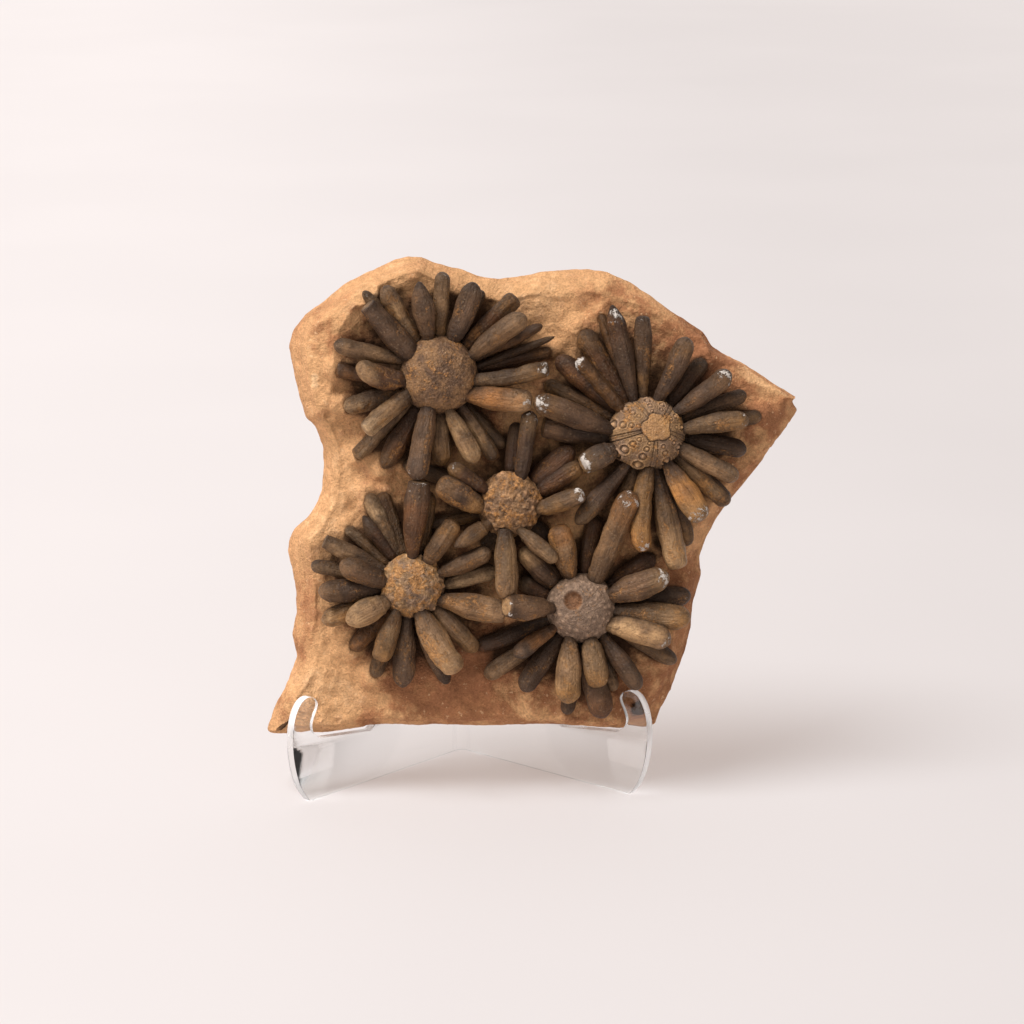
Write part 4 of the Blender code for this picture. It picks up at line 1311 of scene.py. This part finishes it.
@dataclass(frozen=True)
class ShadeAndGrime:
    """Painted shade, with some grime, where a surface is closed in by others around it, and painted shade on
    faces that look down.
    """

    reach: float = 14.0 * MM
    offset: float = 0.35 * MM
    rays: int = 9
    smoothing: int = 2
    underside_shade: float = 0.22

    def directions(self, normals: np.ndarray) -> np.ndarray:
        """Directions spread over the half space in front of each normal, as (n, rays, 3)."""
        count = np.arange(self.rays)
        rise = np.sqrt(1.0 - (count + 0.5) / self.rays)
        side = np.sqrt(1.0 - rise**2)
        helper = np.where(np.abs(normals[:, 2:3]) < 0.9, (0.0, 0.0, 1.0), (1.0, 0.0, 0.0))
        across = np.cross(normals, helper)
        across /= np.maximum(np.linalg.norm(across, axis=1), 1e-9)[:, None]
        above = np.cross(normals, across)
        turn = count * GOLDEN_TURN + (np.arange(len(normals)) * 1.7)[:, None]
        return (
            normals[:, None, :] * rise[None, :, None]
            + across[:, None, :] * (side * np.cos(turn))[..., None]
            + above[:, None, :] * (side * np.sin(turn))[..., None]
        )

    def settle(self, pieces: list[bpy.types.Object]) -> None:
        """Stores on each piece how closed in its points are, from 0 to 1, with painted shade added on faces
        that look down.
        """
        corners, faces = [], []
        for piece in pieces:
            first = len(corners)
            corners.extend(vertex.co.copy() for vertex in piece.data.vertices)
            faces.extend([first + k for k in polygon.vertices] for polygon in piece.data.polygons)
        tree = BVHTree.FromPolygons(corners, faces)
        for piece in pieces:
            mesh = piece.data
            normals = np.array([vertex.normal for vertex in mesh.vertices])
            points = np.array([vertex.co for vertex in mesh.vertices]) + normals * self.offset
            closed = np.zeros(len(points))
            around = self.directions(normals).tolist()
            for k, (point, ways) in enumerate(zip(points.tolist(), around)):
                closed[k] = sum(self.shut(tree.ray_cast(point, way, self.reach)[3]) for way in ways)
            # The closed-in share is painted shade with some grime in crevices; the underside term is painted
            # shade.
            closed = closed / self.rays + self.underside_shade * np.clip(-normals[:, 2], 0.0, 1.0)
            ends = np.zeros(len(mesh.edges) * 2, np.int32)
            mesh.edges.foreach_get("vertices", ends)
            first, second = ends[0::2], ends[1::2]
            neighbours = np.bincount(ends, minlength=len(points)) + 1.0
            for _ in range(self.smoothing):
                total = closed + np.bincount(first, closed[second], len(points))
                closed = (total + np.bincount(second, closed[first], len(points))) / neighbours
            set_attribute(mesh, "dirt", "FLOAT", closed)

    def shut(self, distance: float | None) -> float:
        """How much a surface at a distance closes one direction."""
        return 0.0 if distance is None else 1.0 - 0.7 * distance / self.reach


# ---------------------------------------------------------------- the urchins


@dataclass
class Skin:
    """The growing mesh of one urchin: points, faces and what its finish reads at each point."""

    points: list[np.ndarray] = field(default_factory=list)
    faces: list[np.ndarray] = field(default_factory=list)
    tones: list[np.ndarray] = field(default_factory=list)
    traits: list[np.ndarray] = field(default_factory=list)
    grains: list[np.ndarray] = field(default_factory=list)
    count: int = 0

    def add_tube(
        self,
        rings: np.ndarray,
        tones: np.ndarray,
        traits: np.ndarray,
        grain: np.ndarray,
        poles: np.ndarray,
    ) -> None:
        """Adds a closed tube.

        Args:
            rings: (rings, sides, 3) points.
            tones: colours of the same shape.
            traits: fleck, crust and bury shares of the same shape.
            grain: the points in the club's own frame, of the same shape.
            poles: (2, 3) end points, before the first ring and after the last.
        """
        ring_count, sides = rings.shape[:2]
        first = self.count
        index = first + np.arange(ring_count * sides).reshape(ring_count, sides)
        turned = np.roll(index, -1, axis=1)
        quads = np.stack([index[:-1], turned[:-1], turned[1:], index[1:]], axis=-1).reshape(-1, 4)
        start, end = first + ring_count * sides, first + ring_count * sides + 1
        root_fan = np.stack([np.full(sides, start), turned[0], index[0], np.full(sides, -1)], axis=-1)
        tip_fan = np.stack([np.full(sides, end), index[-1], turned[-1], np.full(sides, -1)], axis=-1)
        self.faces.append(np.concatenate([quads, root_fan, tip_fan]))
        for store, values, ends in (
            (self.points, rings, poles),
            (self.tones, tones, np.stack([tones[0].mean(0), tones[-1].mean(0)])),
            (self.traits, traits, np.stack([traits[0].mean(0), traits[-1].mean(0)])),
            (self.grains, grain, np.stack([grain[0].mean(0), grain[-1].mean(0)])),
        ):
            store.append(np.concatenate([values.reshape(-1, 3), ends]))
        self.count += ring_count * sides + 2

    def mesh(self, name: str) -> bpy.types.Mesh:
        """The finished mesh with its attributes."""
        made = bpy.data.meshes.new(name)
        faces = [tuple(k for k in face if k >= 0) for face in np.concatenate(self.faces).tolist()]
        made.from_pydata(np.concatenate(self.points).tolist(), [], faces)
        set_attribute(made, "tone", "FLOAT_COLOR", np.concatenate(self.tones))
        set_attribute(made, "traits", "FLOAT_VECTOR", np.concatenate(self.traits))
        set_attribute(made, "grain", "FLOAT_VECTOR", np.concatenate(self.grains))
        made.shade_smooth()
        return made


def blended(first: Tone, second: Tone | None, share: np.ndarray, patches: np.ndarray) -> np.ndarray:
    """Mixes the colours of a club or a test.

    Args:
        first: the main tone.
        second: the tone at the end, or None.
        share: how far each point has gone to the second tone.
        patches: how much each point shows a tone's second colour.

    Returns:
        A linear colour for each point.
    """
    def pair(tone: Tone) -> np.ndarray:
        """A tone's two colours, mottled."""
        main, other = (np.array(from_display(*part)) for part in tone.value)
        return main + (other - main) * patches[..., None]

    colours = pair(first)
    if second is None:
        return colours
    return colours + (pair(second) - colours) * share[..., None]


@dataclass
class Urchin:
    """One urchin: its test with knobs and the clubs that grow from it, in one mesh."""

    plan: UrchinPlan
    slab: RockSlab
    club_rings: int = 46
    club_sides: int = 34
    ambitus: float = 8.0 * MM
    root_depth: float = 2.6
    belly_place: float = 0.70
    tip_width: float = 0.66
    collar_place: float = 4.6 * MM
    break_share: float = 0.7
    test_fleck: float = 0.02
    lump_size: float = 8.0 * MM
    lump_share: float = 0.14
    swell_size: float = 3.0 * MM
    collar_height: float = 0.35 * MM
    # Ribs along a club: how many round it, slip for each club, share of its half width, twist.
    ribs: tuple[tuple[int, float, float, float], ...] = (
        (2, 3.0, 0.045, 0.0), (3, 7.0, 0.030, 0.0), (7, 5.0, 0.022, 1.5), (11, 9.0, 0.014, -1.0)
    )

    def ends(self, tier: Tier, club: Club) -> tuple[Vector, Vector]:
        """The root and tip of a club in the slab's frame, at the heights that its tier gives."""
        middle = self.plan.middle
        width = club.width * MM
        root_height = tier.root * MM + club.lift * MM / 2
        root = VIEW.polar(middle, club.root_bearing, self.plan.radius - self.root_depth, root_height)
        clear = (tier.clear + club.lift) * MM
        belly = VIEW.polar(middle, club.tip_bearing, 0.8 * club.reach, self.ambitus)
        belly_height = self.slab.relief_at(belly) + clear + width / 2
        end = VIEW.polar(middle, club.tip_bearing, club.reach, self.ambitus)
        end_height = self.slab.relief_at(end) + clear + self.tip_width * width / 2
        tip_height = max(root_height + (belly_height - root_height) / self.belly_place, end_height)
        return root, VIEW.polar(middle, club.tip_bearing, club.reach, tip_height)

    def beds(self) -> list[Bed]:
        """Where this urchin's clubs and test lie in or over the rock."""
        made = []
        for tier, clubs in self.plan.clubs.items():
            for club in clubs:
                root, tip = self.ends(tier, club)
                depth = 0.0
                if tier is LOW:
                    depth = tier.clear * MM + club.width * MM * 0.42
                made.append(Bed(np.array(root[:2]), np.array(tip[:2]), club.width * MM, depth))
        middle = np.array(VIEW.place(*self.plan.middle, self.ambitus)[:2])
        shift = np.array((0.1 * MM, 0.0))
        made.append(Bed(middle, middle + shift, self.plan.radius * 1.7 * MM, 3.0 * MM))
        return made

    def add_club(self, skin: Skin, tier: Tier, club: Club, seed: float) -> None:
        """Adds one club: a bent, lumpy and faintly ridged turned shape with its own tip.

        Args:
            skin: the urchin's growing mesh.
            tier: how high the club lies.
            club: the club.
            seed: a number that gives the club its own lumps and grain.
        """
        root, tip = self.ends(tier, club)
        run = tip - root
        length, half = run.length, club.width * MM / 2
        cap, power = club.tip.value
        cap_start = max(0.5, 1.0 - cap * half / length)
        body_rings = round(self.club_rings * 0.74)
        cap_angle = np.linspace(0.0, 1.0, self.club_rings - body_rings + 2)[1:-1] * math.pi / 2
        along = np.concatenate([
            np.linspace(0.0, cap_start, body_rings), cap_start + (1.0 - cap_start) * np.sin(cap_angle)
        ])
        rounding = np.clip((along - cap_start) / (1.0 - cap_start), 0.0, 1.0)
        radius = half * club.form.width_at(along) * (1.0 - rounding**power) ** (1.0 / power)
        angle = np.linspace(0.0, 2 * math.pi, self.club_sides, endpoint=False)
        turn, ring = np.meshgrid(angle, np.arange(len(along)))
        share, girth = along[ring], radius[ring]
        local = np.stack([np.cos(turn) * girth, np.sin(turn) * girth, share * length], axis=-1)
        flat = local.reshape(-1, 3)
        shape = share.shape
        lumps = wander(flat + seed, self.lump_size, seed).reshape(shape) * self.lump_share * half
        swell = wander(flat, self.swell_size, seed + 5.0, 2).reshape(shape) * (0.15 + 0.30 * club.crust) * MM
        ribs = sum(
            np.cos(turn * count + seed * slip + share * twist) * height * half
            for count, slip, height, twist in self.ribs
        )
        collar = np.exp(-(((share * length - self.collar_place) / (0.5 * MM)) ** 2)) * self.collar_height
        steady = np.clip(girth / half, 0.0, 1.0)
        gain = 1.0 + ((lumps + swell + ribs) * steady + collar) / np.maximum(girth, 0.15 * half)
        local[..., :2] *= gain[..., None]
        grain = local + seed * 0.37
        across = run.normalized().cross(Vector((0.0, 0.0, 1.0))).normalized()
        above = across.cross(run.normalized()).normalized()
        sway = np.sin(share * math.pi) * club.bend * MM
        points = (
            np.array(root)
            + local[..., 2:3] * np.array(run.normalized())
            + (local[..., 0:1] + sway[..., None]) * np.array(across)
            + local[..., 1:2] * np.array(above)
        )
        patches = wander(flat, 9 * MM, seed + 9.0, 2).reshape(shape) * 1.3 + 0.4
        mottling = np.clip(patches, 0.0, 1.0)
        end_share = smooth_step(share + patches * 0.16, 0.66, 0.92)
        tone = blended(club.tone, club.end_tone, end_share, mottling)
        if club.root_tone is not None:
            root_share = smooth_step(share + patches * 0.1, 0.50, 0.24)
            root_colour = blended(club.root_tone, None, root_share, mottling)
            tone += (root_colour - tone) * root_share[..., None]
        if club.tip is Tip.BROKEN:
            fresh = smooth_step(rounding[ring], 0.75, 0.93) * self.break_share
            tone += (np.array(from_display(*Tone.SAND.value[0])) - tone) * fresh[..., None]
        lifted = smooth_step(points[..., 2] - root.z, -2.0 * MM, 3.0 * MM)
        fleck_place = smooth_step(share, 0.78, 0.95) * lifted
        upper = smooth_step(local[..., 1] / half, -0.1, 0.5)
        fleck = (club.fleck * (0.30 + 0.9 * fleck_place) + 0.16 * fleck_place) * upper
        face = self.slab.relief(points.reshape(-1, 3)[:, :2]).reshape(shape)
        over = points[..., 2] - face
        low = {LOW: 1.0, SUB: 0.3}.get(tier, 0.0)
        bury = smooth_step(over, (2.2 + 3.4 * low) * MM, (1.0 + 0.8 * low) * MM) * 0.9 + low * 0.12
        side = smooth_step(local[..., 1] / half, 0.25, -0.65)
        traits = np.stack([fleck, club.crust + 0.55 * side, bury], axis=-1)
        poles = np.array([root, tip])
        skin.add_tube(points, tone, traits, grain, poles)

    def test_profile(self) -> tuple[np.ndarray, np.ndarray]:
        """Radius and height of the test's rings, from its top to its foot."""
        radius, top = self.plan.radius * MM, self.plan.top * MM
        knots = np.array([
            (0.0, top), (0.22 * radius, top - 0.012 * radius), (0.42 * radius, top - 0.05 * radius),
            (0.60 * radius, top - 0.12 * radius), (0.76 * radius, top - 0.225 * radius),
            (0.92 * radius, top - 0.42 * radius),
            (radius, self.ambitus + 0.8 * MM), (0.97 * radius, self.ambitus - 2.8 * MM),
            (0.84 * radius, 2.2 * MM), (0.70 * radius, 0.2 * MM),
        ])
        steps = np.concatenate([[0.0], np.cumsum(np.linalg.norm(np.diff(knots, axis=0), axis=1))])
        even = np.linspace(0.0, steps[-1], self.plan.rings + 1)[1:]
        return smooth_interp(even, steps, knots[:, 0]), smooth_interp(even, steps, knots[:, 1])

    def add_test(self, skin: Skin) -> None:
        """Adds the test: a low dome with its knobs, grains, furrows and the hole at its crown."""
        plan = self.plan
        radius, height = self.test_profile()
        angle = np.linspace(0.0, 2 * math.pi, plan.sides, endpoint=False)
        turn, ring = np.meshgrid(angle, np.arange(plan.rings))
        arc = np.concatenate([[0.0], np.cumsum(np.hypot(np.diff(radius), np.diff(height)))]) + radius[0]
        spread = np.stack([np.cos(turn) * arc[ring], np.sin(turn) * arc[ring]], axis=-1).reshape(-1, 2)
        steep = np.gradient(height, arc)
        flat_share = np.sqrt(np.clip(1.0 - steep**2, 0.0, 1.0))
        upward = flat_share * np.sign(np.gradient(radius))
        outward = np.stack([
            np.cos(turn) * -steep[ring], np.sin(turn) * -steep[ring], upward[ring]
        ], axis=-1)
        base = np.stack([
            np.cos(turn) * radius[ring], np.sin(turn) * radius[ring] * (1.0 - plan.flatten), height[ring]
        ], axis=-1)
        flat = base.reshape(-1, 3)
        knobs = plan.knobs.height(spread, plan.radius * 1.18 * MM, plan.seed)
        grains = wander(flat, plan.grain_size * MM, plan.seed, 2) * plan.grain_height * MM
        warp = wander(flat, 11 * MM, plan.seed + 2.0) * 0.5 * MM
        raised = knobs + grains + warp
        worn = np.zeros(len(flat))
        if plan.hole is not None:
            x, y, size = (value * MM for value in plan.hole)
            disc = np.linalg.norm(spread - (x, y), axis=1)
            raised -= smooth_step(disc, size * 1.06, size * 0.70) * 2.3 * MM
            raised += np.exp(-(((disc - size * 1.15) / (0.7 * MM)) ** 2)) * 0.25 * MM
            worn = smooth_step(disc, size * 1.1, size * 0.8)
        middle = VIEW.place(*plan.middle, self.ambitus)
        points = base + outward * raised.reshape(turn.shape)[..., None]
        points = points + np.array((middle.x, middle.y, 0.0))
        patches = np.clip(wander(flat, 6 * MM, plan.seed + 4.0, 3) * 1.4 + 0.5, 0.0, 1.0)
        # Painted highlight on the knobs and grains and painted shade in the hollows: the tone lightens with
        # height and darkens below.
        crest_highlight_shade = np.clip((knobs + grains) / (0.5 * MM), -1.0, 1.0).reshape(turn.shape)
        tone = blended(plan.tones[0], plan.tones[1], patches.reshape(turn.shape), 0.35 - 0.35 * crest_highlight_shade)
        tone *= 1.0 + 0.5 * crest_highlight_shade[..., None]
        if isinstance(plan.knobs, Columns):
            plate = plan.knobs.plate(spread)[0].reshape(turn.shape)[..., None]
            tone += (np.array(from_display(*Tone.OCHRE.value[0])) - tone) * plate * 0.6
        if plan.hole is not None:
            rust = np.array(from_display(*Tone.RUSTY.value[0]))
            tone += (rust - tone) * worn.reshape(turn.shape)[..., None] * 0.8
        over = smooth_step(points[..., 2], 4.2 * MM, 2.0 * MM)
        fleck, crust = np.full(turn.shape, self.test_fleck), np.full(turn.shape, plan.crust)
        traits = np.stack([fleck, crust, over * 0.6], axis=-1)
        top = np.array((middle.x, middle.y, height[0] + float(raised[:plan.sides].mean())))
        poles = np.array([top, (middle.x, middle.y, 0.0)])
        grain = base + plan.seed
        skin.add_tube(*(values[:, ::-1] for values in (points, tone, traits, grain)), poles)

    def build(self, place: Matrix, finish: bpy.types.Material) -> bpy.types.Object:
        """Builds and dresses the urchin.

        Args:
            place: the slab's frame in the world.
            finish: the fossil's material.

        Returns:
            The urchin.
        """
        skin = Skin()
        self.add_test(skin)
        seed = self.plan.seed
        for tier, clubs in self.plan.clubs.items():
            for club in clubs:
                seed += 1.37
                self.add_club(skin, tier, club, seed)
        name = "fossil_" + self.plan.name
        return finish_piece(name, skin.mesh(name), [finish], place, [self.plan.name])


def smooth_interp(wanted: np.ndarray, steps: np.ndarray, values: np.ndarray) -> np.ndarray:
    """Interpolates values smoothly through their knots."""
    slopes = np.gradient(values, steps)
    cell = np.clip(np.searchsorted(steps, wanted, side="right") - 1, 0, len(steps) - 2)
    span = steps[cell + 1] - steps[cell]
    t = (wanted - steps[cell]) / span
    t2, t3 = t * t, t * t * t
    return (
        (2 * t3 - 3 * t2 + 1) * values[cell] + (t3 - 2 * t2 + t) * span * slopes[cell]
        + (3 * t2 - 2 * t3) * values[cell + 1] + (t3 - t2) * span * slopes[cell + 1]
    )


# ---------------------------------------------------------------- the stand


@dataclass
class FoldedStand:
    """The clear stand: one flat sheet, cut to an outline and folded once about its upright line."""

    sheet: float = 4.0 * MM
    fold_radius: float = 4.5 * MM
    fold_steps: int = 16
    fold_angle: float = 90.0
    height: float = 122.0
    ledge_front: tuple[float, float] = (95.6, 28.4)
    ledge_run: float = 35.0
    edge: float = 0.35 * MM
    finish: ClearSheetFinish = field(default_factory=ClearSheetFinish)
    # The edges' faint glow is painted light that keeps them bright.
    edge_finish: ClearSheetFinish = ClearSheetFinish(
        "clear_sheet_edge", (0.985, 0.960, 0.950), 0.20, clearness=0.65, painted_glow=0.05
    )

    def wing(self) -> list[tuple[float, float]]:
        """One wing's outline in mm, along the sheet from the fold and up from the ground."""
        lean = math.tan(math.radians(VIEW.lean))
        half = math.cos(math.radians(self.fold_angle / 2))
        ledge_along, ledge_up = self.ledge_front
        rest_foot = (ledge_along - self.ledge_run, ledge_up - self.ledge_run * half * lean)
        rest_top = self.height - 12.0
        top_corner = (rest_foot[0] - (rest_top - rest_foot[1]) * lean / half, rest_top)
        foot = [(100.0, 0.0), (102.8, 0.6), (106.2, 4.6), (109.0, 9.4), (111.3, 16.0), (112.8, 23.5)]
        hook = [(113.2, 31.0), (112.4, 37.5), (110.6, 43.0), (107.4, 47.3), (103.2, 49.0), (99.4, 48.0)]
        lip = [(97.0, 45.4), (97.3, 42.6), (99.2, 39.3), (100.6, 35.4), (99.9, 32.2), (98.0, 30.3)]
        curve = rounded_line(foot[1:] + hook + lip, 5)
        rest_along, rest_up = rest_foot
        ledge = [self.ledge_front, (rest_along + 2.0, rest_up + 0.25), (rest_along, rest_up + 2.0)]
        crown = [
            top_corner, (top_corner[0] - 3.0, rest_top + 6.0), (top_corner[0] - 10.0, rest_top + 10.5),
            (12.0, self.height),
        ]
        return foot[:1] + curve + ledge + crown

    def fold_point(self, along: float, up: float, out: float) -> tuple[float, float, float]:
        """Where a point of the flat sheet lies after the fold, the wings running towards -Y."""
        half_turn = math.radians(180.0 - self.fold_angle) / 2
        angle = max(-half_turn, min(half_turn, along / self.fold_radius))
        past = math.copysign(max(0.0, abs(along) - self.fold_radius * half_turn), along)
        x = (self.fold_radius + out) * math.sin(angle) + past * math.cos(angle)
        y = (self.fold_radius + out) * math.cos(angle) - abs(past) * math.sin(half_turn)
        return x, y - self.fold_radius, up

    def flat_sheet(self) -> bpy.types.Mesh:
        """The cut sheet before it is folded, with softened edges."""
        wing = self.wing()
        curve = bpy.data.curves.new("sheet_cut", "CURVE")
        curve.dimensions = "2D"
        curve.fill_mode = "BOTH"
        curve.extrude = self.sheet / 2 - self.edge
        curve.bevel_depth = self.edge
        curve.bevel_resolution = 1
        curve.offset = -self.edge
        outline = wing + [(-along, up) for along, up in reversed(wing)]
        closed_line(curve, [(along * MM, up * MM) for along, up in outline])
        return drawn_mesh(linked("sheet_cut", curve))

    def build(self, fold: Vector) -> bpy.types.Object:
        """Folds the sheet and dresses it.

        Args:
            fold: where the fold meets the ground.

        Returns:
            The stand.
        """
        mesh = self.flat_sheet()
        shape = bmesh.new()
        shape.from_mesh(mesh)
        bmesh.ops.remove_doubles(shape, verts=shape.verts, dist=0.00001)
        for face in shape.faces:
            face.material_index = 1 if abs(face.normal.z) < 0.4 else 0
        half_turn = math.radians(180.0 - self.fold_angle) / 2
        for k in range(self.fold_steps + 1):
            along = self.fold_radius * half_turn * (2 * k / self.fold_steps - 1)
            parts = shape.verts[:] + shape.edges[:] + shape.faces[:]
            bmesh.ops.bisect_plane(shape, geom=parts, plane_co=(along, 0, 0), plane_no=(1, 0, 0))
        for vertex in shape.verts:
            vertex.co = self.fold_point(*vertex.co)
        bmesh.ops.recalc_face_normals(shape, faces=shape.faces)
        shape.to_mesh(mesh)
        shape.free()
        mesh.shade_smooth()
        mesh.set_sharp_from_angle(angle=math.radians(24))
        finishes = [self.finish.build(), self.edge_finish.build()]
        stand = finish_piece(
            "clear_folded_stand", mesh, finishes, Matrix.Translation(fold), ["acrylic_stand"]
        )
        stand.visible_shadow = False
        return stand


def rounded_line(points: list[tuple[float, float]], steps: int) -> list[tuple[float, float]]:
    """A smooth line through points, with some steps between each two."""
    made = []
    for k in range(len(points) - 1):
        before, start, end, after = (
            Vector(points[max(0, min(len(points) - 1, k + shift))]) for shift in (-1, 0, 1, 2)
        )
        for step in range(steps):
            t = step / steps
            place = 0.5 * (
                2 * start + (end - before) * t + (2 * before - 5 * start + 4 * end - after) * t**2
                + (3 * start - before - 3 * end + after) * t**3
            )
            made.append(tuple(place))
    return made + [points[-1]]


# ---------------------------------------------------------------- the studio


@dataclass
class Studio:
    """A pale floor that runs out of sight, soft light from the upper left, and the camera."""

    floor_radius: float = 14.0
    floor_finish: PaperFinish = field(default_factory=PaperFinish)
    sky: Colour = (1.0, 0.965, 0.945)
    dim: float = 0.13
    bright: float = 0.66
    glow_from: Vector = Vector((-0.50, -1.0, 0.55))
    glow_edge: float = -0.35
    rear: float = 0.75
    key: float = 3.5
    key_spread: float = 34.0
    key_from: Vector = Vector((-0.92, -0.50, 1.78))

    def floor(self) -> None:
        """Lays the floor."""
        mesh = bpy.data.meshes.new("studio_floor")
        shape = bmesh.new()
        bmesh.ops.create_grid(shape, x_segments=8, y_segments=8, size=self.floor_radius)
        shape.to_mesh(mesh)
        shape.free()
        mesh.materials.append(self.floor_finish.build())
        linked("studio_floor", mesh)

    def lights(self) -> None:
        """Sets the soft sky, brightest from the front left and behind, and the key light."""
        graph = Graph(bpy.data.worlds.new("studio_sky"), "Background")
        way = graph.add("ShaderNodeTexCoord", {}, {}, "Generated")
        facing = graph.add(
            "ShaderNodeVectorMath",
            {"operation": "DOT_PRODUCT"},
            {0: way, 1: self.glow_from.normalized()},
            "Value",
        )
        front = facing.step(self.glow_edge, 1.0, self.dim, self.bright)
        behind = graph.split(way)[1].step(0.15, 0.75) * self.rear
        bpy.context.scene.world = graph.set(color=graph.tint(self.sky, front + behind))
        light = bpy.data.lights.new("key_light", "SUN")
        light.energy = self.key
        light.angle = math.radians(self.key_spread)
        light.color = (1.0, 0.985, 0.97)
        lamp = linked("key_light", light)
        lamp.rotation_euler = self.key_from.to_track_quat("Z", "Y").to_euler()

    def camera(self, fold: Vector) -> None:
        """Stands the camera where the drawn view is seen from."""
        right, up, back = VIEW.axes()
        lens = bpy.data.cameras.new("view_camera")
        lens.lens = VIEW.lens
        lens.sensor_width = VIEW.film
        lens.clip_end = 60.0
        camera = linked("view_camera", lens)
        turn = Matrix((right, up, back)).transposed().to_4x4()
        camera.matrix_world = Matrix.Translation(fold + VIEW.eye()) @ turn
        bpy.context.scene.camera = camera

    def build(self, fold: Vector) -> None:
        """Sets up the floor, lights, camera and plain tone."""
        self.floor()
        self.lights()
        self.camera(fold)
        bpy.context.scene.view_settings.view_transform = "Standard"


def main() -> None:
    """Builds the stand, the slab and the five urchins."""
    logging.basicConfig(level=logging.INFO, format="%(message)s")
    fold = fold_place()
    Studio().build(fold)
    FoldedStand().build(fold)
    slab_place = Matrix.Translation(fold) @ VIEW.slab_frame()
    slab = RockSlab()
    urchins = [Urchin(plan, slab) for plan in PLANS]
    beds = [bed for urchin in urchins for bed in urchin.beds()]
    finish = FossilFinish().build()
    pieces = [slab.build(slab_place, beds)] + [urchin.build(slab_place, finish) for urchin in urchins]
    ShadeAndGrime().settle(pieces)
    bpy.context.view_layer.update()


if __name__ == "__main__":
    main()
